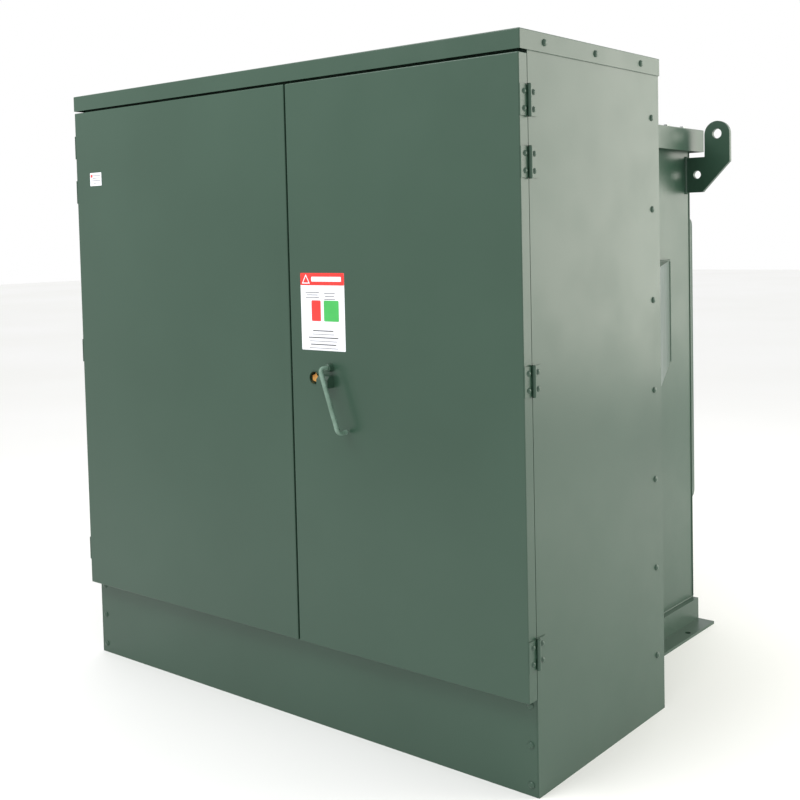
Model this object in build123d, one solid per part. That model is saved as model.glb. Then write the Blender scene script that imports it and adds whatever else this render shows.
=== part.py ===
from build123d import *

import os
from math import cos, pi, radians, sin, sqrt

# Three-phase pad-mounted distribution transformer: an oil tank with a core and coils,
# rear cooling fins, and a two-door cable cabinet across its front.
# Millimetres; X to the right as seen from the doors, Y back, Z up from the pad.
# Everything is drawn with Y measured back from the door faces. save() shifts it so
# that the origin is the middle of the footprint, at ground level.

# Cabinet
cabinet_width = 1524.0
cabinet_height = 1633.0
cabinet_depth = 625.0
sheet = 3.0
edge_radius = 2.5
hood_lip = 42.0
hood_clearance = 1.0
jamb_width = 40.0
back_flange = 57.0
window_side_margin = 30.0
window_bottom = 110.0
window_top_margin = 60.0
threshold_depth = 30.0
header_depth = 45.0
keeper_reach = 12.0
keeper_half_width = 30.0
barrier_gap = 5.0
barrier_foot = 28.0
barrier_stop = 40.0

# Doors
door_bottom = 216.0
door_return = 31.0
door_setback = 2.0
door_top_gap = 6.0
door_split_x = 86.0
door_split_gap = 5.0
stiffener_width = 46.0
stiffener_depth = 20.0
stiffener_sheet = 2.0
stiffener_foot = 14.0
stiffener_end_gap = 40.0

# Hinges
hinge_from_bottom = 101.0
hinges_from_top = (226.0, 98.0)
hinge_length = 65.0
hinge_leaf = 2.5
hinge_leaf_width = 31.0
knuckle_radius = 5.0
knuckle_gap = 0.5
hinge_pin_radius = 3.0
hinge_play = 0.05
hinge_bolt_offset = 18.0

# Round-head bolts
bolt_radius = 5.0
bolt_head_radius = 8.0
bolt_head_height = 5.0
small_bolt_radius = 4.0
small_head_radius = 6.5
small_head_height = 4.0
bolt_play = 0.5
nut_thickness = 6.0
hood_bolt_count = 3
hood_bolt_end = 96.0
side_bolt_count = 7
side_bolt_end = 147.0
side_bolt_inset = 38.0
sill_bolt_low = 25.0
sill_bolt_drop = 48.0
sill_bolt_inset = 19.0

# Door latch and lock
handle_x = 217.0
handle_z = 903.0
handle_radius = 5.5
handle_stand_off = 38.0
handle_drop = 149.0
handle_lean = 53.0
handle_tip_gap = 5.0
handle_bend = 11.0
bearing_radius = 9.5
bearing_reach = 15.0
bearing_collar = 5.0
latch_arm = 24.0
latch_pin_radius = 4.0
latch_pin_slack = 1.2
latch_rod_radius = 5.0
latch_rod_y = 18.5
cam_front = 8.0
cam_thickness = 5.0
cam_width = 14.0
cam_hub_radius = 12.0
yoke_height = 26.0
yoke_thickness = 5.0
yoke_wall = 4.0
guide_reach = 420.0
guide_half_width = 14.0
guide_half_height = 8.0
keeper_gap = 4.0
keeper_play = 3.0
lock_x = 163.0
lock_z = 875.0
lock_cup_radius = 17.0
lock_head_radius = 11.0
lock_shank_radius = 6.0
lock_cup_wall = 1.5
lock_floor = 17.0
lock_floor_plate = 2.0
lock_head_length = 9.0
lock_skirt_front = 11.0
lock_skirt = 2.5
lock_washer_gap = 0.1
lock_washer = 2.0
hasp_width = 36.0
hasp_height = 28.0
hasp_depth = 22.0
hasp_sheet = 2.5
hasp_shift = 10.0
shackle_radius = 4.8

# Tank, cover, rails
tank_width = 1060.0
tank_depth = 663.0
tank_wall = 6.0
tank_floor = 8.0
rail_height = 72.0
rail_step = 19.0
rail_foot = 51.0
rail_plate = 8.0
rail_gap = 15.0
rail_ledge = 60.0
beam_plate = 8.0
beam_foot = 38.0
anchor_hole_radius = 9.0
anchor_from_rear = 143.0
anchor_spacing = 420.0
cover_bottom = 1446.0
cover_height = 66.0
cover_overhang = 35.0
cover_plate = 8.0
gasket_thickness = 6.0
gasket_inset = 20.0
rim_play = 6.0
rim_plate = 8.0
cover_bolt_radius = 6.0
cover_head_radius = 10.0
cover_head_height = 7.0
cover_nut_height = 8.0
cover_bolts_per_side = 6
cover_bolts_across = 8

# Lifting lugs and wing braces
lug_plate = 12.0
lug_arm_radius = 39.5
lug_reach = 140.0
lug_foot_low = 123.0
lug_foot_high = 18.0
lug_hole_radius = 14.5
lug_pin_hole_radius = 12.0
lug_from_rear = 8.0
lug_toe = 47.0
lug_nose_rise = 89.0
lug_eye_drop = 19.0
lug_pin_across = 36.6
lug_pin_rise = 53.0
brace_bottom = 820.0
brace_height = 300.0
brace_length = 525.0
brace_sheet = 3.0

# Cooling fins
fin_count = 17
fin_spacing = 60.0
fin_thickness = 12.0
fin_bottom = 360.0
fin_height = 885.0
fin_depth = 110.0
fin_reach = 125.0
fin_corner = 14.0
header_radius = 25.0
header_wall = 4.0
header_inset = 55.0

# Tank-front fittings: places across (x) and up (z)
hv_edge = 100.0
hv_spacing = 155.0
hv_height = 930.0
hv_flange_radius = 58.0
hv_shank_radius = 38.0
hv_nose_radius = 28.0
hv_nose_length = 120.0
fuse_height = 1200.0
fuse_radius = 12.0
fuse_play = 0.5
fuse_housing_radius = 21.0
fuse_length = 330.0
lv_edge = 75.0
lv_barrier_gap = 54.0
lv_height = 1080.0
lv_flange_radius = 42.0
lv_shank_radius = 30.0
lv_stud_radius = 16.0
spade_height = 90.0
spade_length = 90.0
spade_plate = 10.0
spade_hole_radius = 7.2
spade_hole_pitch = 44.45
spindle_height = 1360.0
level_place = (170.0, 1330.0)
thermometer_place = (300.0, 1330.0)
gauge_radius = 45.0
gauge_wall = 3.0
gauge_stem = 14.0
gauge_depth = 34.0
pipe_radius = 12.0
spindle_radius = 9.0
spindle_sleeve = 6.0
glass_play = 0.2
relief_place = (420.0, 1350.0)
drain_place = (440.0, 190.0)
pad_places = ((-470.0, 190.0), (150.0, 190.0))
ground_hole_radius = 6.35
ground_hole_pitch = 44.45

# Core and coils
limb_pitch = 330.0
limb_width = 140.0
core_stack = 140.0
core_window = 520.0
core_yoke_height = 130.0
core_bottom = 190.0
lv_coil_wall = 20.0
hv_coil_wall = 25.0
coil_duct = 8.0

# Derived places
half_width = cabinet_width / 2
panel_inner = half_width - sheet
frame_y = door_return + door_setback
jamb_inner = panel_inner - jamb_width
hood_bottom = cabinet_height - hood_lip
hood_under = cabinet_height - sheet
panel_top = hood_under - hood_clearance
door_top = hood_bottom - door_top_gap
tank_front = cabinet_depth
tank_rear = tank_front + tank_depth
tank_half = tank_width / 2
rail_front = tank_front + rail_gap
fin_rear = tank_rear + fin_reach
cover_top = cover_bottom + cover_height
tank_top = cover_top - cover_plate - gasket_thickness
door_face_y = -(fin_rear - handle_stand_off - handle_radius) / 2


def spread(low, high, count):
    """Evenly spaced values, both ends included."""
    return [low + i * (high - low) / (count - 1) for i in range(count)]


hv_places = [hv_edge - tank_half + i * hv_spacing for i in range(3)]
lv_places = spread(door_split_x + lv_barrier_gap, tank_half - lv_edge, 4)
tap_place = (hv_places[0], spindle_height)
switch_place = (hv_places[1], spindle_height)
hinge_heights = [door_bottom + hinge_from_bottom, (door_bottom + door_top) / 2]
hinge_heights += [door_top - drop for drop in hinges_from_top]
latch_stroke = latch_arm * sqrt(2)
upper_keeper_low = door_top - sheet - 2 - (latch_stroke - keeper_gap)
lower_keeper_high = door_bottom + sheet + 2 + (latch_stroke - keeper_gap)
sill_top = lower_keeper_high - sheet

os.makedirs("parts", exist_ok=True)


def save(name, *shapes):
    """Shift the pieces of one node to the footprint's middle and write them."""
    solids = [solid for shape in shapes for solid in shape.solids()]
    node = solids[0] if len(solids) == 1 else Compound(solids)
    export_step(Pos(0, door_face_y, 0) * node, f"parts/{name}.step")


def block(x, y, z):
    """A box between the two faces given along each axis."""
    spans = [sorted(span) for span in (x, y, z)]
    middle = [(low + high) / 2 for low, high in spans]
    return Pos(*middle) * Box(*[high - low for low, high in spans])


def bar(radius, start, end):
    """A round bar from one point to another."""
    along = Vector(*end) - Vector(*start)
    return extrude(Plane(origin=start, z_dir=along) * Circle(radius), along.length)


def tube(radius, bore, start, end):
    """A round bar with a hole right through it."""
    return bar(radius, start, end) - bar(bore, start, end)


def both_sides(shape):
    """The shape and its mirror image across the middle of the cabinet."""
    return [shape, mirror(shape, Plane.YZ)]


def run_back(sketch, front, length):
    """A profile drawn across X and Z, run back along Y from its front face."""
    upright = Plane((0, front, 0), (1, 0, 0), (0, -1, 0))
    return extrude(upright * sketch, length, dir=(0, 1, 0))


def round_head_bolt(radius, head_radius, head_height, grip):
    """A dome-headed bolt and its nut; the head's seat is at the origin, facing +Z."""
    dome = (head_radius**2 + head_height**2) / (2 * head_height)
    head = Pos(0, 0, head_height - dome) * Sphere(dome)
    head &= Pos(0, 0, head_height / 2) * Cylinder(head_radius, head_height)
    shank = Pos(0, 0, -(grip + nut_thickness) / 2) * Cylinder(radius, grip + nut_thickness)
    nut = extrude(Pos(0, 0, -grip - nut_thickness) * RegularPolygon(1.7 * radius, 6), nut_thickness)
    return head + shank + nut


def place_bolts(bolt, seats, outward):
    """Copies of one bolt with its head on each seat, facing outward."""
    return [Plane(origin=seat, z_dir=outward).location * bolt for seat in seats]


def holes(seats, along, radius, depth=40.0):
    """Clearance holes through the sheets at each bolt's seat."""
    reach = Vector(*along) * depth
    return [bar(radius, Vector(*seat) - reach, Vector(*seat) + reach) for seat in seats]


# ---- Cabinet sheet metal ----
right_hood_seats = [
    (half_width + sheet, y, hood_bottom + hood_lip / 2)
    for y in spread(hood_bolt_end, cabinet_depth - hood_bolt_end, hood_bolt_count)
]
right_side_seats = [
    (half_width, cabinet_depth - side_bolt_inset, z)
    for z in spread(side_bolt_end, cabinet_height - side_bolt_end, side_bolt_count)
]
sill_seats = [
    (side * (half_width - sill_bolt_inset), frame_y, z)
    for side in (-1, 1) for z in spread(sill_bolt_low, sill_top - sill_bolt_drop, 3)
]
hinge_bolt_heights = [z + step for z in hinge_heights for step in (-hinge_bolt_offset, hinge_bolt_offset)]
knuckle_x = half_width + knuckle_radius + knuckle_gap
leaf_bolt_reach = hinge_leaf_width / 2 + knuckle_radius / 2
frame_leaf_seats = [
    (half_width + hinge_leaf, door_return + leaf_bolt_reach + door_setback, z) for z in hinge_bolt_heights
]
door_leaf_seats = [
    (half_width + hinge_leaf, door_return - leaf_bolt_reach + door_setback, z) for z in hinge_bolt_heights
]


def make_side_panel():
    """The right side sheet with its turned-in front jamb."""
    skin = block((panel_inner, half_width), (frame_y, cabinet_depth), (0, panel_top))
    jamb = block((jamb_inner, half_width), (frame_y + sheet, frame_y + 2 * sheet), (0, panel_top))
    cuts = holes(right_hood_seats + right_side_seats, (1, 0, 0), bolt_radius + bolt_play)
    cuts += holes(frame_leaf_seats, (1, 0, 0), small_bolt_radius + bolt_play, 30)
    right_sill_seats = [seat for seat in sill_seats if seat[0] > 0]
    cuts += holes(right_sill_seats, (0, 1, 0), bolt_radius + bolt_play)
    return skin + jamb - cuts


side_panel = make_side_panel()
save("side_panel_right", side_panel)
save("side_panel_left", mirror(side_panel, Plane.YZ))


def make_hood():
    """The folded top cover: a flat sheet with a lip turned down on all four sides."""
    outer_x = (-half_width - sheet, half_width + sheet)
    shell = block(outer_x, (0, cabinet_depth + sheet), (hood_bottom, cabinet_height))
    top_and_corners = shell.edges().group_by(Axis.Z)[-1] + shell.edges().filter_by(Axis.Z)
    shell = fillet(top_and_corners, edge_radius)
    hollow = block((-half_width, half_width), (sheet, cabinet_depth), (hood_bottom - 1, hood_under))
    cuts = holes(right_hood_seats, (1, 0, 0), bolt_radius + bolt_play)
    return shell - hollow - cuts - [mirror(cut, Plane.YZ) for cut in cuts]


save("hood", make_hood())


def make_back_frame():
    """The sheet between the cabinet and the tank, with a window on the tank wall."""
    back = (cabinet_depth - sheet, cabinet_depth)
    frame = block((-panel_inner, panel_inner), back, (0, panel_top))
    window_half = tank_half - window_side_margin
    window = block((-window_half, window_half), back, (window_bottom, tank_top - window_top_margin))
    flange_y = (cabinet_depth - sheet - back_flange, cabinet_depth)
    flange = block((panel_inner - sheet, panel_inner), flange_y, (0, panel_top))
    cuts = holes(right_side_seats, (1, 0, 0), bolt_radius + bolt_play)
    frame = frame - window
    for wing in both_sides(flange - cuts):
        frame += wing
    return frame


save("cabinet_back_frame", make_back_frame())

latch_pin_offset = latch_arm * (1 + sqrt(0.5)) / 2
upper_rod_x = handle_x + latch_pin_offset
lower_rod_x = handle_x - latch_pin_offset
keeper_front = latch_rod_y - keeper_reach


def make_sill():
    """The fixed panel below the doors, with a stiffening return along its top."""
    face_x = panel_inner - bolt_play
    face = block((-face_x, face_x), (frame_y, frame_y + sheet), (0, sill_top))
    fold = block((-jamb_inner, jamb_inner), (frame_y, frame_y + threshold_depth), (sill_top - sheet, sill_top))
    return face + fold - holes(sill_seats, (0, 1, 0), bolt_radius + bolt_play)


save("sill_panel", make_sill())


def keeper_hole(x):
    """The hole that a latch rod enters."""
    return Pos(x, latch_rod_y, 0) * Cylinder(latch_rod_radius + keeper_play, 4 * cabinet_height)


def make_door_frame():
    """Header and threshold strips, each with a tongue that receives a latch rod."""
    across = (-jamb_inner, jamb_inner)
    behind_face = frame_y + sheet
    header = block(across, (behind_face, behind_face + sheet), (upper_keeper_low, panel_top))
    header += block(across, (behind_face, frame_y + header_depth), (panel_top - sheet, panel_top))
    header += block(
        (upper_rod_x - keeper_half_width, upper_rod_x + keeper_half_width),
        (keeper_front, behind_face + sheet),
        (upper_keeper_low, upper_keeper_low + sheet),
    )
    threshold_z = (lower_keeper_high - sheet, lower_keeper_high)
    threshold = block(across, (frame_y, frame_y + threshold_depth), threshold_z)
    threshold += block(
        (lower_rod_x - keeper_half_width, lower_rod_x + keeper_half_width), (keeper_front, frame_y), threshold_z
    )
    return header - keeper_hole(upper_rod_x), threshold - keeper_hole(lower_rod_x)


save("door_frame", *make_door_frame())


def make_barrier():
    """The steel wall between the high- and low-voltage halves of the cabinet."""
    x = (door_split_x - sheet / 2, door_split_x + sheet / 2)
    front = frame_y + 3 * sheet
    z = (lower_keeper_high + barrier_gap, upper_keeper_low - barrier_gap)
    wall = block(x, (front, cabinet_depth - sheet), z)
    stop = block((door_split_x - barrier_stop / 2, door_split_x + barrier_stop / 2), (front, front + sheet), z)
    foot_back = cabinet_depth - sheet
    foot = block((door_split_x - barrier_foot, x[1]), (foot_back - sheet, foot_back), z)
    return wall + stop + foot


save("compartment_barrier", make_barrier())


def make_cabinet_bolts():
    """Every round-head bolt that holds the hood, side sheets and sill."""
    pair = round_head_bolt(bolt_radius, bolt_head_radius, bolt_head_height, 2 * sheet)
    right = place_bolts(pair, right_hood_seats + right_side_seats, (1, 0, 0))
    left = [mirror(bolt, Plane.YZ) for bolt in right]
    return right + left + place_bolts(pair, sill_seats, (0, -1, 0))


save("cabinet_bolts", *make_cabinet_bolts())


# ---- Hinges ----
def knuckle(z_low, z_high):
    """One rolled knuckle, bored for the hinge pin."""
    ends = [(knuckle_x, door_return, z) for z in (z_low, z_high)]
    return tube(knuckle_radius, hinge_pin_radius + hinge_play, *ends)


def make_leaf(z, side):
    """A hinge leaf at height z: side +1 lies on the frame, -1 on the door's return."""
    seam = door_return + door_setback / 2 * (1 + side)
    y = sorted((seam, seam + side * hinge_leaf_width))
    leaf = block((half_width, half_width + hinge_leaf), y, (z - hinge_length / 2, z + hinge_length / 2))
    third = hinge_length / 3
    middle = (z - third / 2, z + third / 2)
    outer = [(z - hinge_length / 2, middle[0]), (middle[1], z + hinge_length / 2)]
    own, other = (outer, [middle]) if side > 0 else ([middle], outer)
    for low, high in other:
        room = block(
            (half_width, knuckle_x + knuckle_radius),
            (door_return - knuckle_radius - 1, door_return + knuckle_radius + 1),
            (low - bolt_play, high + bolt_play),
        )
        leaf -= room
    for low, high in own:
        leaf += knuckle(low, high)
        ends = [(knuckle_x, door_return, height) for height in (low, high)]
        leaf -= bar(hinge_pin_radius + hinge_play, *ends)
    return leaf


def make_hinge_side(side, seats, grip):
    """Four leaves and their bolts on the right of the cabinet."""
    leaves = [make_leaf(z, side) for z in hinge_heights]
    cuts = holes(seats, (1, 0, 0), small_bolt_radius + bolt_play, 30)
    bolt = round_head_bolt(small_bolt_radius, small_head_radius, small_head_height, grip)
    return [leaf - cuts for leaf in leaves] + place_bolts(bolt, seats, (1, 0, 0))


frame_leaves = make_hinge_side(1, frame_leaf_seats, hinge_leaf + sheet)
door_leaves = make_hinge_side(-1, door_leaf_seats, hinge_leaf + sheet)
save("hinge_leaves_frame", *frame_leaves, *[mirror(leaf, Plane.YZ) for leaf in frame_leaves])
save("hinge_leaves_door_right", *door_leaves)
save("hinge_leaves_door_left", *[mirror(leaf, Plane.YZ) for leaf in door_leaves])


def make_hinge_pins():
    """A headed pin for every hinge."""
    pins = []
    for z in hinge_heights:
        low, high = z - hinge_length / 2, z + hinge_length / 2
        pin = bar(hinge_pin_radius, (knuckle_x, door_return, low - 2), (knuckle_x, door_return, high + 2))
        pin += bar(knuckle_radius - 1, (knuckle_x, door_return, high), (knuckle_x, door_return, high + 2))
        pin += bar(knuckle_radius - 1, (knuckle_x, door_return, low - 2), (knuckle_x, door_return, low))
        pins.append(pin)
    return pins + [mirror(pin, Plane.YZ) for pin in pins]


save("hinge_pins", *make_hinge_pins())


# ---- Doors ----
split_right = door_split_x + door_split_gap / 2
split_left = door_split_x - door_split_gap / 2
lock_place = (lock_x, lock_z)
handle_place = (handle_x, handle_z)


def make_door(x_low, x_high):
    """A folded pan: a face with returns on all four sides, open at the back."""
    pan = block((x_low, x_high), (0, door_return), (door_bottom, door_top))
    face_edges = pan.edges().group_by(Axis.Y)[0]
    upright_edges = pan.edges().filter_by(Axis.Y)
    pan = fillet(face_edges + upright_edges, edge_radius)
    hollow = block(
        (x_low + sheet, x_high - sheet), (sheet, door_return + 1), (door_bottom + sheet, door_top - sheet)
    )
    return pan - hollow


def through_face(place, radius):
    """A round hole through a door's face."""
    x, z = place
    return bar(radius, (x, -1, z), (x, sheet + 1, z))


hinge_cuts = holes(door_leaf_seats, (1, 0, 0), small_bolt_radius + bolt_play, 30)
right_door = make_door(split_right, half_width) - hinge_cuts
right_door -= [
    through_face(lock_place, lock_cup_radius + bolt_play),
    through_face(handle_place, bearing_radius + bolt_play),
]
save("door_right", right_door)
save("door_left", make_door(-half_width, split_left) - [mirror(cut, Plane.YZ) for cut in hinge_cuts])


def make_stiffener(x, z_low, z_high):
    """An upright hat channel welded to the back of a door's face."""
    back = sheet + stiffener_depth
    half = stiffener_width / 2
    inner = half - stiffener_sheet
    body = block((x - half, x + half), (sheet, back), (z_low, z_high))
    hollow = block((x - inner, x + inner), (sheet, back - stiffener_sheet), (z_low - 1, z_high + 1))
    foot_y = (sheet, sheet + stiffener_sheet)
    feet = [
        block((x + side * (half - 1), x + side * (half + stiffener_foot)), foot_y, (z_low, z_high))
        for side in (-1, 1)
    ]
    return body + feet - hollow


def make_stiffeners(x_low, x_high, shares):
    """A door's stiffeners, each at a share of the way across it."""
    low, high = door_bottom + sheet + stiffener_end_gap, door_top - sheet - stiffener_end_gap
    return [make_stiffener(x_low + (x_high - x_low) * share, low, high) for share in shares]


right_stiffeners = make_stiffeners(split_right, half_width, (0.48, 0.8))
save("door_left_stiffeners", *make_stiffeners(-half_width, split_left, (0.25, 0.5, 0.75)))

guide_heights = (handle_z - guide_reach, handle_z + guide_reach)


def make_rod_guide(x, z):
    """A bored foot on the door's face that keeps a latch rod upright."""
    low, high = z - guide_half_height, z + guide_half_height
    back = latch_rod_y + latch_rod_radius + yoke_wall
    guide = block((x - guide_half_width, x + guide_half_width), (sheet, back), (low, high))
    return guide - bar(latch_rod_radius + bolt_play, (x, latch_rod_y, low - 1), (x, latch_rod_y, high + 1))


guides = [make_rod_guide(lower_rod_x, guide_heights[0]), make_rod_guide(upper_rod_x, guide_heights[1])]
save("door_right_stiffeners", *right_stiffeners, *guides)


# ---- Latch: handle, cam and the two rods it slides ----
def make_bearing():
    """The turned boss that carries the handle's shaft through the door."""
    front = (handle_x, -bearing_reach, handle_z)
    face_back = (handle_x, sheet, handle_z)
    collar_back = (handle_x, 2 * sheet, handle_z)
    boss = bar(bearing_radius, front, face_back)
    boss = fillet(boss.edges().group_by(Axis.Y)[0], sheet)
    boss += bar(bearing_radius + bearing_collar, face_back, collar_back)
    return boss - bar(handle_radius + hinge_play, front, collar_back)


save("handle_bearing", make_bearing())


def make_handle():
    """The bent round-bar handle; its shaft goes back through the bearing to the cam."""
    y = -handle_stand_off
    low = (handle_x + handle_lean, y, handle_z - handle_drop)
    route = FilletPolyline(
        (handle_x, cam_front, handle_z),
        (handle_x, y, handle_z),
        low,
        (low[0], -handle_tip_gap, low[2]),
        radius=handle_bend,
    )
    return sweep(Plane(origin=route @ 0, z_dir=route % 0) * Circle(handle_radius), path=route)


save("handle_rod", make_handle())


def make_cam():
    """The cross arm on the shaft's inner end, with a drive pin at each end."""
    back = cam_front + cam_thickness
    pin_back = latch_rod_y + yoke_wall
    arm = Pos(0, cam_front + cam_thickness / 2, 0) * Box(2 * latch_arm, cam_thickness, cam_width)
    arm += bar(cam_hub_radius, (0, cam_front, 0), (0, back, 0))
    for x in (-latch_arm, latch_arm):
        arm += bar(cam_width / 2, (x, cam_front, 0), (x, back, 0))
        arm += bar(latch_pin_radius, (x, back, 0), (x, pin_back, 0))
    return Pos(handle_x, 0, handle_z) * Rot(0, 45, 0) * arm


save("latch_cam", make_cam())

pin_drop = latch_arm * sqrt(0.5)
slot_half = latch_arm - latch_pin_offset + latch_pin_radius + latch_pin_slack


def make_latch_rod(x, yoke_z, end_z):
    """A latch rod with a slotted yoke that rides on one of the cam's pins."""
    up = 1 if end_z > yoke_z else -1
    middle = Pos(x, latch_rod_y, yoke_z)
    slot_height = 2 * (latch_pin_radius + latch_pin_slack)
    yoke = middle * Box(2 * (slot_half + yoke_wall), yoke_thickness, yoke_height)
    slot = middle * Box(2 * slot_half, 2 * yoke_thickness, slot_height)
    rod = bar(latch_rod_radius, (x, latch_rod_y, yoke_z + up * (yoke_height / 2 - 1)), (x, latch_rod_y, end_z))
    rod = chamfer(rod.edges().sort_by(Axis.Z)[-1 if up > 0 else 0], 2)
    return yoke - slot + rod


save("latch_rod_upper", make_latch_rod(upper_rod_x, handle_z - pin_drop, upper_keeper_low - keeper_gap))
save("latch_rod_lower", make_latch_rod(lower_rod_x, handle_z + pin_drop, lower_keeper_high + keeper_gap))


# ---- Lock: recessed cup, captive five-sided bolt, padlock bracket ----
def make_lock_cup():
    """A shallow cup let into the door, with a floor for the bolt's shank."""
    def at(y):
        return (lock_x, y, lock_z)

    inner = lock_cup_radius - lock_cup_wall
    cup = tube(lock_cup_radius, inner, at(-1), at(lock_floor))
    cup += tube(lock_cup_radius, lock_shank_radius + bolt_play, at(lock_floor), at(lock_floor + lock_floor_plate))
    return cup + tube(lock_cup_radius + bearing_collar, inner + bolt_play, at(sheet), at(sheet + lock_floor_plate))


save("lock_cup", make_lock_cup())


def make_lock_bolt():
    """The five-sided head on its round skirt, and the shank."""
    front = (lock_x, lock_skirt_front, lock_z)
    skirt_back = (lock_x, lock_skirt_front + lock_skirt, lock_z)
    skirt = bar(lock_head_radius + 2, front, skirt_back)
    outline = Plane(front, z_dir=(0, -1, 0)) * RegularPolygon(lock_head_radius, 5, rotation=18)
    head = extrude(outline, lock_head_length)
    head = chamfer(head.edges().group_by(Axis.Y)[0], 1)
    return head + skirt + bar(lock_shank_radius, skirt_back, (lock_x, door_return - 1, lock_z))


save("lock_bolt", make_lock_bolt())


def make_washer():
    """The captive washer behind the bolt's skirt."""
    front = lock_skirt_front + lock_skirt + lock_washer_gap
    ends = [(lock_x, y, lock_z) for y in (front, front + lock_washer)]
    return tube(lock_head_radius + 2, lock_shank_radius + hinge_play, *ends)


save("lock_bolt_washer", make_washer())


def make_hasp():
    """A folded bracket beside the handle with a hole for a padlock's shackle."""
    middle_x = handle_x - hasp_shift
    half = hasp_width / 2
    top = handle_z - bearing_radius - hasp_shift
    bottom = top - hasp_height
    body = block((middle_x - half, middle_x + half), (-hasp_depth, 0), (bottom, top))
    upper_edge = body.edges().filter_by(Axis.X).group_by(Axis.Y)[0].sort_by(Axis.Z)[-1]
    body = chamfer(upper_edge, 8)
    inner = half - hasp_sheet
    hollow_z = (bottom - 1, top - hasp_sheet - 6)
    body -= block((middle_x - inner, middle_x + inner), (hasp_sheet - hasp_depth, 1), hollow_z)
    shackle_x, shackle_z = middle_x + 4, bottom + 9
    return body - bar(shackle_radius, (shackle_x, -hasp_depth - 1, shackle_z), (shackle_x, 1, shackle_z))


save("padlock_hasp", make_hasp())


# ---- Tank ----
wall_back = tank_front + tank_wall


def front_hole(place, radius):
    """A round hole through the tank's front wall."""
    x, z = place
    return bar(radius, (x, tank_front - 1, z), (x, wall_back + 1, z))


header_heights = (fin_bottom + header_inset, fin_bottom + fin_height - header_inset)
fin_half_row = fin_spacing * (fin_count - 1) / 2
stub_places = (fin_spacing / 2 - fin_half_row, fin_spacing / 2, fin_half_row - fin_spacing / 2)

# The cover's bolts stand on one line outside the walls, clear of the lugs.
bolt_line = cover_overhang / 2 - 2
first_side_bolt = 70.0
side_run = spread(tank_front + first_side_bolt, tank_rear - first_side_bolt, cover_bolts_per_side)
rear_run = spread(first_side_bolt - tank_half, tank_half - first_side_bolt, cover_bolts_across)
cover_bolt_places = [(side * (tank_half + bolt_line), y) for side in (-1, 1) for y in side_run]
cover_bolt_places += [(x, tank_rear + bolt_line) for x in rear_run]
cover_bolt_holes = [
    bar(cover_bolt_radius + bolt_play, (x, y, tank_top - 2 * rim_plate), (x, y, cover_top + 1))
    for x, y in cover_bolt_places
]


def make_tank():
    """The welded tank: four walls, a floor and an outward flange for the cover."""
    outside = block((-tank_half, tank_half), (tank_front, tank_rear), (rail_height, tank_top))
    inside = block(
        (-tank_half + tank_wall, tank_half - tank_wall),
        (wall_back, tank_rear - tank_wall),
        (rail_height + tank_floor, tank_top + 1),
    )
    rim_out = cover_overhang - sheet - rim_play
    rim_x = tank_half + rim_out
    rim = block((-rim_x, rim_x), (tank_front, tank_rear + rim_out), (tank_top - rim_plate, tank_top))
    round_holes = [front_hole((x, hv_height), hv_shank_radius + bolt_play) for x in hv_places]
    round_holes += [front_hole((x, fuse_height), fuse_housing_radius + bolt_play) for x in hv_places]
    round_holes += [front_hole((x, lv_height), lv_shank_radius + bolt_play) for x in lv_places]
    sleeve_hole = spindle_radius + spindle_sleeve + bolt_play
    round_holes += [front_hole(place, sleeve_hole) for place in (switch_place, tap_place)]
    round_holes += [front_hole(place, gauge_stem + bolt_play) for place in (level_place, thermometer_place)]
    round_holes += [front_hole(place, pipe_radius + bolt_play) for place in (relief_place, drain_place)]
    header_holes = [
        bar(header_radius - header_wall, (x, tank_rear - tank_wall - 1, z), (x, tank_rear + 1, z))
        for x in stub_places for z in header_heights
    ]
    return outside + rim - inside - round_holes - header_holes - cover_bolt_holes


save("tank_shell", make_tank())


def make_cover():
    """The bolted cover plate with a deep skirt on its sides and rear."""
    half = tank_half + cover_overhang
    y = (tank_front + 1, tank_rear + cover_overhang)
    body = block((-half, half), y, (cover_bottom, cover_top))
    body = fillet(body.edges().filter_by(Axis.Z).group_by(Axis.Y)[-1], edge_radius)
    body = fillet(body.edges().group_by(Axis.Z)[-1], edge_radius)
    inner = half - sheet
    hollow = block((-inner, inner), (tank_front, y[1] - sheet), (cover_bottom - 1, cover_top - cover_plate))
    return body - hollow - cover_bolt_holes


save("tank_cover", make_cover())


def make_gasket():
    """The rubber gasket between the tank's flange and the cover."""
    edge = cover_overhang - sheet - rim_plate
    inner = tank_half - gasket_inset
    z = (tank_top, tank_top + gasket_thickness)
    ring = block((-tank_half - edge, tank_half + edge), (tank_front + 1, tank_rear + edge), z)
    ring -= block((-inner, inner), (tank_front + gasket_inset, tank_rear - gasket_inset), z)
    return ring - cover_bolt_holes


save("cover_gasket", make_gasket())


def make_cover_bolt(x, y):
    """A hexagon bolt through the cover, gasket and flange, with its nut."""
    nut_low = tank_top - rim_plate - cover_nut_height
    bolt = bar(cover_bolt_radius, (x, y, nut_low - 2), (x, y, cover_top))
    bolt += extrude(Pos(x, y, cover_top) * RegularPolygon(cover_head_radius, 6), cover_head_height)
    return bolt + extrude(Pos(x, y, nut_low) * RegularPolygon(cover_head_radius, 6), cover_nut_height)


save("cover_bolts", *[make_cover_bolt(x, y) for x, y in cover_bolt_places])


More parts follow.
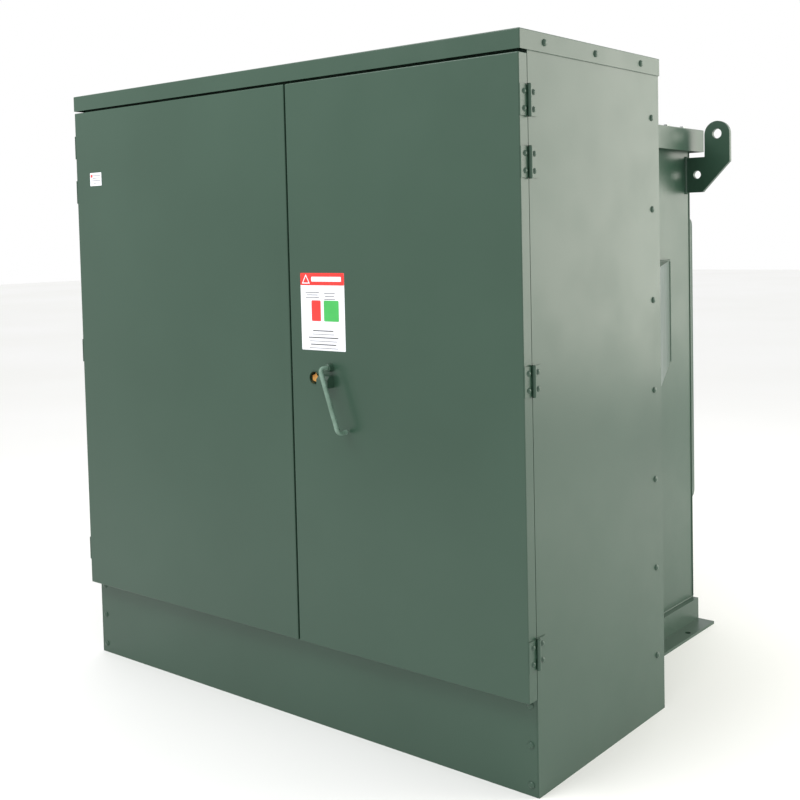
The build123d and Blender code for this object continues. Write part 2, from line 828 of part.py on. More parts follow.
def make_rail():
    """The right base rail: a step under the tank, a web and a foot on the pad."""
    web_x = tank_half + rail_step
    toe_x = web_x + rail_foot
    ledge_x = tank_half - rail_ledge
    under = rail_height - rail_plate
    points = [
        (ledge_x, under), (ledge_x, rail_height), (web_x, rail_height), (web_x, rail_plate), (toe_x, rail_plate),
        (toe_x, 0), (web_x - rail_plate, 0), (web_x - rail_plate, under),
    ]
    rail = run_back(Polygon(*points, align=None), rail_front, tank_rear - rail_front)
    far = tank_rear - anchor_from_rear
    spots = [(web_x + rail_foot * 0.62, y) for y in (far - anchor_spacing, far)]
    return rail - [bar(anchor_hole_radius, (x, y, -1), (x, y, rail_plate + 1)) for x, y in spots]


def make_cross_beam(y):
    """A channel under the tank floor that joins the two rails."""
    half = tank_half + rail_step - rail_plate
    flange_y = (y + beam_plate / 2 - beam_foot, y + beam_plate / 2)
    top_half = tank_half - rail_ledge - 1
    web = block((-half, half), (y - beam_plate / 2, y + beam_plate / 2), (0, rail_height - rail_plate))
    foot = block((-half, half), flange_y, (0, beam_plate))
    return web + foot + block((-top_half, top_half), flange_y, (rail_height - beam_plate, rail_height))


cross_beams = [make_cross_beam(y) for y in (rail_front + 120, (rail_front + tank_rear) / 2, tank_rear - 60)]
save("base_rails", *both_sides(make_rail()), *cross_beams)


def make_lug():
    """A lifting lug: an arm welded to the wall, turned up to a round eye."""
    eye_x = lug_reach - lug_arm_radius
    arm_x = eye_x - lug_arm_radius
    low = cover_bottom - lug_foot_low
    high = cover_bottom - lug_foot_high
    eye_z = cover_top - lug_eye_drop
    shape = Polygon(
        (0, low), (eye_x - lug_toe, low), (lug_reach, low + lug_nose_rise), (lug_reach, eye_z),
        (arm_x, eye_z), (arm_x, high), (0, high), align=None,
    )
    shape += Pos(eye_x, eye_z) * Circle(lug_arm_radius)
    shape -= Pos(eye_x, eye_z + 2) * Circle(lug_hole_radius)
    return shape - Pos(lug_pin_across, low + lug_pin_rise) * Circle(lug_pin_hole_radius)


def place_lug(y):
    """The right lug standing on the tank wall with its front face at y."""
    return Pos(tank_half, 0, 0) * run_back(make_lug(), y, lug_plate)


lug_faces = (tank_front + 15, tank_rear - lug_from_rear - lug_plate)
right_lugs = [place_lug(y) for y in lug_faces]
save("lifting_lugs", *right_lugs, *[mirror(lug, Plane.YZ) for lug in right_lugs])


def make_wing_brace():
    """The hollow three-cornered box that ties the cabinet's wing to the tank wall."""
    start = cabinet_depth + 2
    corners = [(tank_half, start), (half_width - 1, start), (tank_half, start + brace_length)]
    body = Pos(0, 0, brace_bottom) * extrude(Polygon(*corners, align=None), brace_height)
    wall, front = tank_half + brace_sheet, start + brace_sheet
    inner = [(wall, front), (half_width - 12, front), (wall, start + brace_length - 20)]
    hollow = extrude(Polygon(*inner, align=None), brace_height - brace_sheet)
    return body - Pos(0, 0, brace_bottom - 1) * hollow


save("wing_braces", *both_sides(make_wing_brace()))


# ---- Cooling fins ----
header_y = tank_rear + header_radius + 12


def make_fin(x):
    """One flat hollow fin, pierced by the two headers."""
    plate_x = (x - fin_thickness / 2, x + fin_thickness / 2)
    fin = block(plate_x, (fin_rear - fin_depth, fin_rear), (fin_bottom, fin_bottom + fin_height))
    fin = fillet(fin.edges().filter_by(Axis.X), fin_corner)
    return fin - [bar(header_radius, (x - fin_thickness, header_y, z), (x + fin_thickness, header_y, z))
                  for z in header_heights]


save("radiator_fins", *[make_fin(-fin_half_row + i * fin_spacing) for i in range(fin_count)])


def make_header(z):
    """A capped pipe across the tank's rear with stubs that feed it oil."""
    end = fin_half_row + 20
    bore = header_radius - header_wall
    pipe = bar(header_radius, (-end, header_y, z), (end, header_y, z))
    stubs = [bar(header_radius, (x, tank_rear, z), (x, header_y, z)) for x in stub_places]
    bores = [bar(bore, (x, tank_rear - 1, z), (x, header_y, z)) for x in stub_places]
    return pipe + stubs - bar(bore, (4 - end, header_y, z), (end - 4, header_y, z)) - bores


save("radiator_headers", *[make_header(z) for z in header_heights])


# ---- High-voltage side ----
def along_y(x, z, *steps):
    """A turned piece on a front-to-back axis: steps are (radius, front y, back y)."""
    piece = None
    for radius, front, back in steps:
        disc = bar(radius, (x, front, z), (x, back, z))
        piece = disc if piece is None else piece + disc
    return piece


def make_hv_bushing(x):
    """A moulded bushing well with its insert: flange, nose and the oil-side shank."""
    nose_end = tank_front - hv_nose_length
    body = along_y(
        x, hv_height,
        (hv_flange_radius, tank_front - 12, tank_front),
        (hv_shank_radius, tank_front, wall_back + 60),
        (hv_shank_radius - 4, tank_front - 45, tank_front - 12),
        (hv_nose_radius, nose_end, tank_front - 45),
    )
    tip = body.edges().filter_by(GeomType.CIRCLE).group_by(Axis.Y)[0]
    return chamfer(tip, 5) - bar(14, (x, nose_end - 1, hv_height), (x, nose_end + 30, hv_height))


def make_clamp_stud(x, turn):
    """A stud and nut in the bushing's flange."""
    reach = hv_flange_radius - 9
    px, pz = x + reach * cos(radians(turn)), hv_height + reach * sin(radians(turn))
    return along_y(px, pz, (4, tank_front - 26, tank_front), (7.5, tank_front - 20, tank_front - 12))


stud_turns = (45, 135, 225, 315)
hv_studs = [make_clamp_stud(x, turn) for x in hv_places for turn in stud_turns]
save("hv_bushings", *[make_hv_bushing(x) - hv_studs for x in hv_places], *hv_studs)


def make_parking_stand(x):
    """A bracket beside a bushing that holds a lifted-off cable elbow."""
    z = hv_height - 150
    shelf = block((x - 28, x + 28), (tank_front - 90, tank_front), (z, z + 6))
    web = block((x - 3, x + 3), (tank_front - 60, tank_front), (z - 50, z))
    slot = bar(12, (x, tank_front - 60, z - 1), (x, tank_front - 60, z + 7))
    slot += block((x - 12, x + 12), (tank_front - 91, tank_front - 60), (z - 1, z + 7))
    web -= block((x - 4, x + 4), (tank_front - 91, tank_front - 46), (z - 51, z + 1))
    return shelf - slot + web


save("parking_stands", *[make_parking_stand(x) for x in hv_places])

fuse_front = tank_front - 60


def make_fuse_housing(x):
    """The fuse's tube through the wall, with its clamping collar."""
    outside = along_y(
        x, fuse_height,
        (fuse_housing_radius, fuse_front, wall_back + fuse_length),
        (fuse_housing_radius + 12, tank_front - 10, tank_front),
    )
    bore_end = wall_back + fuse_length - 6
    return outside - bar(fuse_radius + fuse_play, (x, fuse_front - 1, fuse_height), (x, bore_end, fuse_height))


save("fuse_housings", *[make_fuse_housing(x) for x in hv_places])


def make_fuse(x):
    """A fuse stick with its cap and the eye that a hot stick hooks."""
    stick = along_y(
        x, fuse_height,
        (fuse_radius, fuse_front, wall_back + fuse_length - 10),
        (fuse_housing_radius + 3, fuse_front - 22, fuse_front - 0.5),
    )
    stick += bar(fuse_radius, (x, fuse_front - 1, fuse_height), (x, fuse_front, fuse_height))
    eye_y = fuse_front - 36
    eye = tube(17, 10, (x - 4, eye_y, fuse_height), (x + 4, eye_y, fuse_height))
    return stick + eye


for number, place in enumerate(hv_places, start=1):
    save(f"fuse_{number}", make_fuse(place))


def make_spindle_body(place):
    """A packed gland through the wall for a turning spindle, with its dial plate."""
    x, z = place
    sleeve = (spindle_radius + spindle_sleeve, tank_front - 18, wall_back + 50)
    body = along_y(x, z, sleeve, (46, tank_front - 6, tank_front))
    return body - bar(spindle_radius + hinge_play, (x, tank_front - 20, z), (x, wall_back + 51, z))


def make_switch_handle():
    """The load-break switch's spindle and two-armed handle with hot-stick holes."""
    x, z = switch_place
    front = tank_front - 40
    body = along_y(x, z, (spindle_radius, front, wall_back + 60), (20, front - 14, tank_front - 19))
    arm = block((x - 78, x + 78), (front - 12, front), (z - 15, z + 15))
    arm = fillet(arm.edges().filter_by(Axis.Y), 14.5)
    return body + arm - [bar(8, (x + across, front - 13, z), (x + across, front + 1, z)) for across in (-62, 62)]


def make_tap_knob():
    """The tap changer's spindle with a pointer knob."""
    x, z = tap_place
    front = tank_front - 44
    body = along_y(x, z, (spindle_radius, front, wall_back + 60), (24, front, tank_front - 19))
    pointer = block((x - 6, x + 6), (front, tank_front - 19), (z, z + 40))
    grip = block((x - 5, x + 5), (front - 16, front), (z - 22, z + 22))
    return body + pointer + grip


save("switch_gland", make_spindle_body(switch_place))
save("tap_changer_gland", make_spindle_body(tap_place))
save("switch_handle", make_switch_handle())
save("tap_knob", make_tap_knob())


# ---- Low-voltage side ----
stud_end = tank_front - 130


def make_lv_bushing(x):
    """A moulded bushing with sheds and a threaded stud towards the doors."""
    sheds = [(lv_shank_radius + 6, tank_front - 62 + i * 16, tank_front - 54 + i * 16) for i in range(3)]
    return along_y(
        x, lv_height,
        (lv_flange_radius, tank_front - 12, tank_front),
        (lv_shank_radius, tank_front - 68, wall_back + 60),
        *sheds,
        (lv_stud_radius, stud_end, tank_front - 68),
    )


save("lv_bushings", *[make_lv_bushing(x) for x in lv_places])


spade_back = stud_end - 0.5
spade_front = stud_end - 1.5 * spade_length + 8
spade_centre_y = stud_end - 70.0


def spade_holes(x):
    """The four bolt holes through a terminal, on an even square."""
    half = spade_hole_pitch / 2
    places = [(spade_centre_y + dy, lv_height + dz) for dy in (-half, half) for dz in (-half, half)]
    return [bar(spade_hole_radius, (x - 20, y, z), (x + 20, y, z)) for y, z in places]


def make_spade(x):
    """A flat four-hole terminal screwed onto a bushing's stud."""
    hub_radius = lv_stud_radius + 9
    stud_tip = (x, stud_end, lv_height)
    hub = tube(hub_radius, lv_stud_radius + hinge_play, stud_tip, (x, tank_front - 72, lv_height))
    plate = block(
        (x - spade_plate / 2, x + spade_plate / 2),
        (spade_front, spade_back),
        (lv_height - spade_height / 2, lv_height + spade_height / 2),
    )
    web = bar(hub_radius, (x, stud_end - 12, lv_height), stud_tip)
    return hub + plate + web - spade_holes(x)


save("lv_spades", *[make_spade(x) for x in lv_places])


# ---- Gauges, valves, plates ----
def make_gauge_body(place):
    """A round dial case on the wall, open to the front, with its stem in the oil."""
    x, z = place
    dial_y = tank_front - 12
    case = along_y(
        x, z, (gauge_radius, tank_front - gauge_depth, tank_front), (gauge_stem, tank_front, wall_back + 40)
    )
    case -= bar(gauge_radius - gauge_wall, (x, tank_front - gauge_depth - 1, z), (x, dial_y, z))
    return case + bar(4, (x, dial_y - 4, z), (x, dial_y, z))


def make_gauge_glass(place):
    """The dial's glass, held inside the case's mouth."""
    x, z = place
    return bar(gauge_radius - gauge_wall - glass_play, (x, tank_front - 32, z), (x, tank_front - 29, z))


def make_needle(place, angle, length):
    """A pointer with its hub, turning in front of the dial."""
    x, z = place
    hub = bar(5, (x, tank_front - 20, z), (x, tank_front - 16.5, z))
    blade = block((-1.6, 1.6), (tank_front - 19, tank_front - 17), (-8, length))
    return hub + Pos(x, 0, z) * Rot(0, angle, 0) * blade


level_rest_angle = -60.0
thermometer_rest_angle = -120.0
save("gauge_bodies", make_gauge_body(level_place), make_gauge_body(thermometer_place))
save("gauge_glasses", make_gauge_glass(level_place), make_gauge_glass(thermometer_place))
save("level_needle", make_needle(level_place, level_rest_angle, 34))
save("thermometer_needle", make_needle(thermometer_place, thermometer_rest_angle, 34))


def make_relief_valve():
    """The pressure relief valve's hexagon body and open neck."""
    x, z = relief_place
    body = along_y(x, z, (pipe_radius, tank_front, wall_back + 20), (16, tank_front - 44, tank_front - 22))
    hexagon = Plane((x, tank_front, z), z_dir=(0, -1, 0)) * RegularPolygon(2 * pipe_radius, 6)
    nut = extrude(hexagon, 24)
    return body + nut - bar(5.2, (x, tank_front - 45, z), (x, tank_front - 20, z))


def make_relief_ring():
    """The pull pin and ring that vents the tank by hand."""
    x, z = relief_place
    pin = bar(5, (x, tank_front - 56, z), (x, tank_front - 22, z))
    ring = Pos(x, tank_front - 68, z) * Rot(0, 90, 0) * Torus(14, 2.5)
    return pin + ring


save("relief_valve", make_relief_valve())
save("relief_ring", make_relief_ring())


drain_y = tank_front - 47.0
wheel_radius = 32.0


def make_drain_valve():
    """The drain and sampling valve: body, outlet with its plug, and bonnet."""
    x, z = drain_place
    body = along_y(x, z, (pipe_radius, tank_front - 30, wall_back + 15), (24, tank_front - 70, tank_front - 24))
    body += bar(14, (x, drain_y, z - 60), (x, drain_y, z + 40))
    body += extrude(Pos(x, drain_y, z - 76) * RegularPolygon(18, 6), 18)
    return body - bar(6 + hinge_play, (x, drain_y, z + 10), (x, drain_y, z + 41))


def make_handwheel():
    """The drain valve's spoked wheel and stem."""
    x, z = drain_place
    wheel_z = z + 56
    wheel = Pos(x, drain_y, wheel_z) * Torus(wheel_radius, 5)
    stem = bar(6, (x, drain_y, z + 22), (x, drain_y, wheel_z + 4))
    stem += bar(10, (x, drain_y, wheel_z - 5), (x, drain_y, wheel_z + 5))
    for turn in (0, 60, 120):
        dx, dy = wheel_radius * cos(radians(turn)), wheel_radius * sin(radians(turn))
        stem += bar(3, (x - dx, drain_y - dy, wheel_z), (x + dx, drain_y + dy, wheel_z))
    return wheel + stem


save("drain_valve", make_drain_valve())
save("drain_handwheel", make_handwheel())

nameplate_x = (200.0, 330.0)
nameplate_z = (1190.0, 1265.0)
plate = block(nameplate_x, (tank_front - 1.5, tank_front), nameplate_z)
save("nameplate", fillet(plate.edges().filter_by(Axis.Y), 5))


def make_ground_pad(place):
    """A two-hole earthing pad welded to the tank wall."""
    x, z = place
    pad = block((x - 25, x + 25), (tank_front - 12, tank_front), (z - 45, z + 45))
    heights = (z - ground_hole_pitch / 2, z + ground_hole_pitch / 2)
    return pad - [bar(ground_hole_radius, (x, tank_front - 13, up), (x, tank_front, up)) for up in heights]


save("ground_pads", *[make_ground_pad(place) for place in pad_places])


# ---- Core and coils ----
core_y = (tank_front + tank_rear) / 2
core_top = core_bottom + 2 * core_yoke_height + core_window
limb_places = (-limb_pitch, 0.0, limb_pitch)
window_z = (core_bottom + core_yoke_height, core_bottom + core_yoke_height + core_window)
core_side = (core_y - core_stack / 2, core_y + core_stack / 2)


def make_core():
    """The three-limb laminated core."""
    outer = limb_pitch + limb_width / 2
    core = block((-outer, outer), core_side, (core_bottom, core_top))
    inner = limb_pitch - limb_width / 2
    openings = [block((side * limb_width / 2, side * inner), (core_side[0] - 1, core_side[1] + 1), window_z)
                for side in (-1, 1)]
    return core - openings


def make_coil(x, inner, wall):
    """One cylindrical winding around a limb."""
    ends = [(x, core_y, window_z[0] + 12), (x, core_y, window_z[1] - 12)]
    return tube(inner + wall, inner, *ends)


lv_inner = sqrt(limb_width**2 + core_stack**2) / 2 + 3
hv_inner = lv_inner + lv_coil_wall + coil_duct
save("core_laminations", make_core())
save("lv_windings", *[make_coil(x, lv_inner, lv_coil_wall) for x in limb_places])
save("hv_windings", *[make_coil(x, hv_inner, hv_coil_wall) for x in limb_places])


def make_clamps():
    """Channel beams that squeeze the yokes, the core's feet, and the tie rods."""
    pieces = []
    beam_half = limb_pitch + limb_width / 2 + 110
    rod_places = [(i - 1.5) * limb_pitch for i in range(4)]
    rod_shift = core_stack / 2 + 14
    rod_cuts = [
        bar(8, (x, core_y + side * rod_shift, 0), (x, core_y + side * rod_shift, 2 * core_top))
        for x in rod_places for side in (-1, 1)
    ]
    for side in (-1, 1):
        near = core_y + side * core_stack / 2
        y = (near, near + side * 28)
        lower = block((-beam_half, beam_half), y, (core_bottom, core_bottom + core_yoke_height - 10))
        for x in (-limb_pitch, limb_pitch):
            lower += block((x - 40, x + 40), y, (rail_height + tank_floor, core_bottom))
        upper = block((-beam_half, beam_half), y, (core_top - core_yoke_height + 10, core_top))
        pieces += [lower - rod_cuts, upper - rod_cuts]
        for x in rod_places:
            place = core_y + side * rod_shift
            rod = bar(7.5, (x, place, core_bottom - 16), (x, place, core_top + 16))
            rod += bar(13, (x, place, core_bottom - 14), (x, place, core_bottom))
            pieces.append(rod + bar(13, (x, place, core_top), (x, place, core_top + 14)))
    return pieces


save("core_clamps", *make_clamps())
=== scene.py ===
import bmesh
import bpy
from math import cos, pi, radians, sin
from mathutils import Matrix, Vector


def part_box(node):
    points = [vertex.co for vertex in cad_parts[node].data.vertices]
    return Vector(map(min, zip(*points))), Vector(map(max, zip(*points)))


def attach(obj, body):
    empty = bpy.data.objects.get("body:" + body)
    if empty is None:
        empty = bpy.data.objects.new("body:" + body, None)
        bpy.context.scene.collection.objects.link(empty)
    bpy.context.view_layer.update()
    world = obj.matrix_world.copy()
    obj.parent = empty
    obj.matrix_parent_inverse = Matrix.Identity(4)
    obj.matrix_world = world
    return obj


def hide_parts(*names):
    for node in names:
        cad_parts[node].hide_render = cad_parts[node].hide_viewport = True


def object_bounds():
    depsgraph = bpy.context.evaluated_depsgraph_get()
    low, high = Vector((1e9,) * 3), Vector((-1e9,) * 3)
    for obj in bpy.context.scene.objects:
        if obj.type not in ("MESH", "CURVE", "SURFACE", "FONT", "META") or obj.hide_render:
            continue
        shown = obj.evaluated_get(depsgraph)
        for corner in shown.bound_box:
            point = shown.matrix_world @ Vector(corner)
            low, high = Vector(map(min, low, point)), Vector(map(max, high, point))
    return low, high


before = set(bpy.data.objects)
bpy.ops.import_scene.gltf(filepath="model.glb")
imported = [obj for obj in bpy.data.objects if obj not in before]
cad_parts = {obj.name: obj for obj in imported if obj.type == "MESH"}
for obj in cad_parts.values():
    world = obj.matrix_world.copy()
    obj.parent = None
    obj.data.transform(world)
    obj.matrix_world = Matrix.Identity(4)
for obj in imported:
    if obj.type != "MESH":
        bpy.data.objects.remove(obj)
cad_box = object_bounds()


# ---- Painted steel: base rails, tank, cabinet and doors ----
# The rails, tank, cabinet sheets and doors are folded and welded mild steel. They are washed,
# primed and powder coated in one gloss green, so the paint is on every face and in every corner.
def linear(code):
    """An sRGB hex colour as linear red, green, blue and alpha."""
    parts = [int(code[i:i + 2], 16) / 255 for i in (1, 3, 5)]
    return [p / 12.92 if p <= 0.04045 else ((p + 0.055) / 1.055) ** 2.4 for p in parts] + [1.0]


def add(tree, kind, settings=None, links=None):
    """Add one node with its settings, and link its inputs."""
    made = tree.nodes.new(kind)
    for key, value in (settings or {}).items():
        if isinstance(key, int) or key in made.inputs:
            made.inputs[key].default_value = value
        else:
            setattr(made, key, value)
    for key, source in (links or {}).items():
        tree.links.new(source, made.inputs[key])
    return made


def start_material(name):
    """An empty material, its node tree and the object coordinates."""
    material = bpy.data.materials.new(name)
    material.use_nodes = True
    material.node_tree.nodes.clear()
    place = add(material.node_tree, "ShaderNodeTexCoord").outputs["Object"]
    return material, material.node_tree, place


def mottle(tree, place, size, low, high):
    """Soft patches of a given size in metres, running between two colours."""
    cloud = add(tree, "ShaderNodeTexNoise", {"Scale": 1 / size, "Detail": 3.0}, {"Vector": place})
    ramp = add(tree, "ShaderNodeValToRGB", links={"Fac": cloud.outputs["Fac"]})
    for stop, position, value in zip(ramp.color_ramp.elements, (0.35, 0.65), (low, high)):
        stop.position = position
        stop.color = value
    return ramp.outputs["Color"]


def grain(tree, place, size, depth, strength):
    """A bump of a given grain size and depth in metres."""
    cloud = add(tree, "ShaderNodeTexNoise", {"Scale": 1 / size, "Detail": 2.0}, {"Vector": place})
    bump = add(
        tree, "ShaderNodeBump", {"Strength": strength, "Distance": depth}, {"Height": cloud.outputs["Fac"]}
    )
    return bump.outputs["Normal"]


def finish(tree, settings, links):
    """The surface shader and the material's output."""
    shader = add(tree, "ShaderNodeBsdfPrincipled", settings, links)
    add(tree, "ShaderNodeOutputMaterial", links={"Surface": shader.outputs["BSDF"]})


def grey(value):
    """A plain grey, for roughness values."""
    return [value, value, value, 1.0]


def make_powder_coat():
    """Gloss polyester powder coat: a deep even green with a faint orange peel."""
    material, tree, place = start_material("green_powder_coat")
    # Orange peel is about 3 mm across; it is drawn at 9 mm so that it shows.
    finish(
        tree,
        {"IOR": 1.5},
        {
            "Base Color": mottle(tree, place, 0.45, linear("#2C4738"), linear("#304B3C")),
            "Roughness": mottle(tree, place, 0.12, grey(0.30), grey(0.36)),
            "Normal": grain(tree, place, 0.009, 0.0003, 0.05),
        },
    )
    return material


powder_coat = make_powder_coat()


def dress(material, *names):
    """Give whole CAD parts one finish."""
    for name in names:
        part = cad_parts[name]
        part.data.materials.clear()
        part.data.materials.append(material)


dress(
    powder_coat,
    "base_rails", "tank_shell", "tank_cover", "lifting_lugs", "wing_braces", "radiator_headers",
    "cabinet_back_frame", "side_panel_left", "side_panel_right", "hood", "sill_panel", "door_frame",
    "compartment_barrier", "parking_stands", "door_left", "door_left_stiffeners", "door_right",
    "door_right_stiffeners", "handle_bearing", "padlock_hasp", "lock_cup", "hinge_leaves_frame",
    "hinge_leaves_door_left", "hinge_leaves_door_right", "hinge_pins",
)


# ---- Weld beads on the tank, rails and lugs ----
# The walls, rails, lifting lugs and wing braces are joined by fillet welds laid by hand.
# Each bead is a low rippled rope of steel in the corner, painted over with the rest.
def socket(tree, name, value, kind="NodeSocketFloat"):
    """A named size on a geometry tree."""
    made = tree.interface.new_socket(name, in_out="INPUT", socket_type=kind)
    if value is not None:
        made.default_value = value
    return made.identifier


def start_tree(name):
    """An empty geometry tree with its geometry in and out."""
    tree = bpy.data.node_groups.new(name, "GeometryNodeTree")
    tree.interface.new_socket("Geometry", in_out="INPUT", socket_type="NodeSocketGeometry")
    tree.interface.new_socket("Geometry", in_out="OUTPUT", socket_type="NodeSocketGeometry")
    return tree


def end_tree(tree, geometry, material):
    """Realize, paint and hand out the geometry."""
    real = add(tree, "GeometryNodeRealizeInstances", links={"Geometry": geometry})
    painted = add(tree, "GeometryNodeSetMaterial", {"Material": material}, {"Geometry": real.outputs[0]})
    add(tree, "NodeGroupOutput", links={"Geometry": painted.outputs["Geometry"]})


def link_in(data):
    """A new object on the scene for this data."""
    made = bpy.data.objects.new(data.name, data)
    bpy.context.scene.collection.objects.link(made)
    return made


def grow(name, source, tree, values):
    """Run a geometry tree on the source data and keep the plain mesh that comes out."""
    seed = link_in(source)
    modifier = seed.modifiers.new("grow", "NODES")
    modifier.node_group = tree
    for identifier, value in values.items():
        modifier[identifier] = value
    bpy.context.view_layer.update()
    evaluated = seed.evaluated_get(bpy.context.evaluated_depsgraph_get())
    mesh = bpy.data.meshes.new_from_object(evaluated)
    seed.modifiers.remove(modifier)
    bpy.data.objects.remove(seed)
    mesh.name = name
    return link_in(mesh)


def work_out(tree, operation, *terms):
    """Work out one number from sockets and plain numbers."""
    plain = {i: term for i, term in enumerate(terms) if isinstance(term, (int, float))}
    wired = {i: term for i, term in enumerate(terms) if i not in plain}
    return add(tree, "ShaderNodeMath", {"operation": operation, **plain}, wired).outputs[0]


def make_bead_tree():
    """Sweep a small ring along each line, swelling it at every ripple."""
    tree = start_tree("weld_bead")
    sizes = {
        "radius": socket(tree, "Radius", 0.004),
        "ripple": socket(tree, "Ripple", 0.006),
    }
    inlet = add(tree, "NodeGroupInput").outputs
    steps_per_ripple, swell_share = 4, 0.12
    step = work_out(tree, "MULTIPLY", inlet["Ripple"], 1 / steps_per_ripple)
    line = add(
        tree, "GeometryNodeResampleCurve", {"mode": "LENGTH"},
        {"Curve": inlet["Geometry"], "Length": step},
    )
    index = add(tree, "GeometryNodeInputIndex")
    phase = work_out(tree, "MULTIPLY", index.outputs[0], 2 * pi / steps_per_ripple)
    wave = work_out(tree, "SINE", phase)
    swell = work_out(tree, "MULTIPLY_ADD", wave, swell_share, 1.0)
    sized = add(
        tree, "GeometryNodeSetCurveRadius", links={"Curve": line.outputs["Curve"], "Radius": swell}
    )
    ring = add(tree, "GeometryNodeCurvePrimitiveCircle", {"Resolution": 8}, {"Radius": inlet["Radius"]})
    rope = add(
        tree, "GeometryNodeCurveToMesh", {"Fill Caps": True},
        {"Curve": sized.outputs["Curve"], "Profile Curve": ring.outputs["Curve"], "Scale": swell},
    )
    smooth = add(tree, "GeometryNodeSetShadeSmooth", links={"Geometry": rope.outputs["Mesh"]})
    end_tree(tree, smooth.outputs["Geometry"], powder_coat)
    return tree, sizes


bead_tree, bead_sizes = make_bead_tree()


def draw_line(name, runs):
    """A curve of straight runs through points."""
    line = bpy.data.curves.new(name, "CURVE")
    line.dimensions = "3D"
    for run in runs:
        spline = line.splines.new("POLY")
        spline.points.add(len(run) - 1)
        for point, place in zip(spline.points, run):
            point.co = (*place, 1.0)
    return line


def lay_bead(name, runs, body, radius, ripple=0.006):
    """Weld beads along straight runs of points, as one piece on one body."""
    line = draw_line(name + "_line", runs)
    piece = grow(name, line, bead_tree, {bead_sizes["radius"]: radius, bead_sizes["ripple"]: ripple})
    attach(piece, body)


def separate_solids(name):
    """The lowest and highest corners of each separate solid in a CAD part."""
    solid = bmesh.new()
    solid.from_mesh(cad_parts[name].data)
    bmesh.ops.remove_doubles(solid, verts=solid.verts, dist=1e-6)
    seen, boxes = set(), []
    for first in solid.verts:
        if first in seen:
            continue
        reached, waiting = {first}, [first]
        while waiting:
            for edge in waiting.pop().link_edges:
                for vert in edge.verts:
                    if vert not in reached:
                        reached.add(vert)
                        waiting.append(vert)
        seen |= reached
        low = Vector([min(v.co[axis] for v in reached) for axis in range(3)])
        high = Vector([max(v.co[axis] for v in reached) for axis in range(3)])
        boxes.append((low, high))
    solid.free()
    return boxes


tank_low, tank_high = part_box("tank_shell")
rail_low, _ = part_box("base_rails")
cover_low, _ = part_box("tank_cover")
rim_out = 0.026
tank_side, tank_back = tank_high.x - rim_out, tank_high.y - rim_out
floor_lift, corner_lift, seam_top = 0.001, 0.004, cover_low.z + 0.03
floor_z = tank_low.z + floor_lift
corner_welds = [
    [(side * tank_side, tank_back, tank_low.z + corner_lift), (side * tank_side, tank_back, seam_top)]
    for side in (-1, 1)
]
floor_weld = [
    (-tank_side, rail_low.y, floor_z), (-tank_side, tank_back, floor_z),
    (tank_side, tank_back, floor_z), (tank_side, rail_low.y, floor_z),
]
lay_bead("tank_seam_welds", corner_welds + [floor_weld], "cabinet", 0.003)

lug_drop, lug_root = 0.004, 0.109
lug_welds = []
for low, high in separate_solids("lifting_lugs"):
    wall = tank_side if low.x > 0 else -tank_side
    for y in (low.y, high.y):
        lug_welds.append([(wall, y, low.z - lug_drop), (wall, y, low.z + lug_root)])
lay_bead("lug_welds", lug_welds, "cabinet", 0.006)

brace_setback = 0.02
brace_welds = []
for low, high in separate_solids("wing_braces"):
    wall = tank_side if low.x > 0 else -tank_side
    brace_welds.append(
        [(wall, high.y, low.z), (wall, high.y, high.z), (wall, low.y + brace_setback, high.z)]
    )
lay_bead("brace_welds", brace_welds, "cabinet", 0.004)


# ---- Cooling fins ----
# Each fin is two thin steel sheets pressed with upright oil channels and seam-welded round the edge.
# A row of them hangs on two pipes behind the tank, painted with the tank.
def make_fin_tree():
    """Lay copies of the pressed fin along X at an even spacing."""
    tree = start_tree("fin_row")
    sizes = {
        "spacing": socket(tree, "Spacing", 0.06),
        "count": socket(tree, "Count", 17, "NodeSocketInt"),
        "start": socket(tree, "Start", -0.48),
    }
    inlet = add(tree, "NodeGroupInput").outputs
    first = add(tree, "ShaderNodeCombineXYZ", links={"X": inlet["Start"]})
    step = add(tree, "ShaderNodeCombineXYZ", links={"X": inlet["Spacing"]})
    row = add(
        tree, "GeometryNodeMeshLine", {"mode": "OFFSET"},
        {"Count": inlet["Count"], "Start Location": first.outputs[0], "Offset": step.outputs[0]},
    )
    copies = add(
        tree, "GeometryNodeInstanceOnPoints",
        links={"Points": row.outputs["Mesh"], "Instance": inlet["Geometry"]},
    )
    end_tree(tree, copies.outputs["Instances"], powder_coat)
    return tree, sizes


fin_boxes = sorted(separate_solids("radiator_fins"), key=lambda pair: pair[0].x)
fin_low, fin_high = fin_boxes[0]
fin_count = len(fin_boxes)
fin_spacing = fin_boxes[1][0].x - fin_low.x
channel_count = 4
fin_seam = 0.010
fin_sheet_half = 0.0015
fin_corner = 0.01
channel_end = 0.03
web_share = 0.35


def fin_bulge(across, up):
    """How far the pressed sheet stands out, for shares across and up the fin."""
    ends = min(1.0, min(up, 1 - up) * (fin_high.z - fin_low.z) / channel_end)
    wave = sin(across * channel_count * pi) ** 2
    return (web_share + (1 - web_share) * wave) * max(0.0, ends) ** 0.5


def keep_mesh(made, name):
    """Turn working geometry into a named mesh."""
    mesh = bpy.data.meshes.new(name)
    made.to_mesh(mesh)
    made.free()
    return mesh


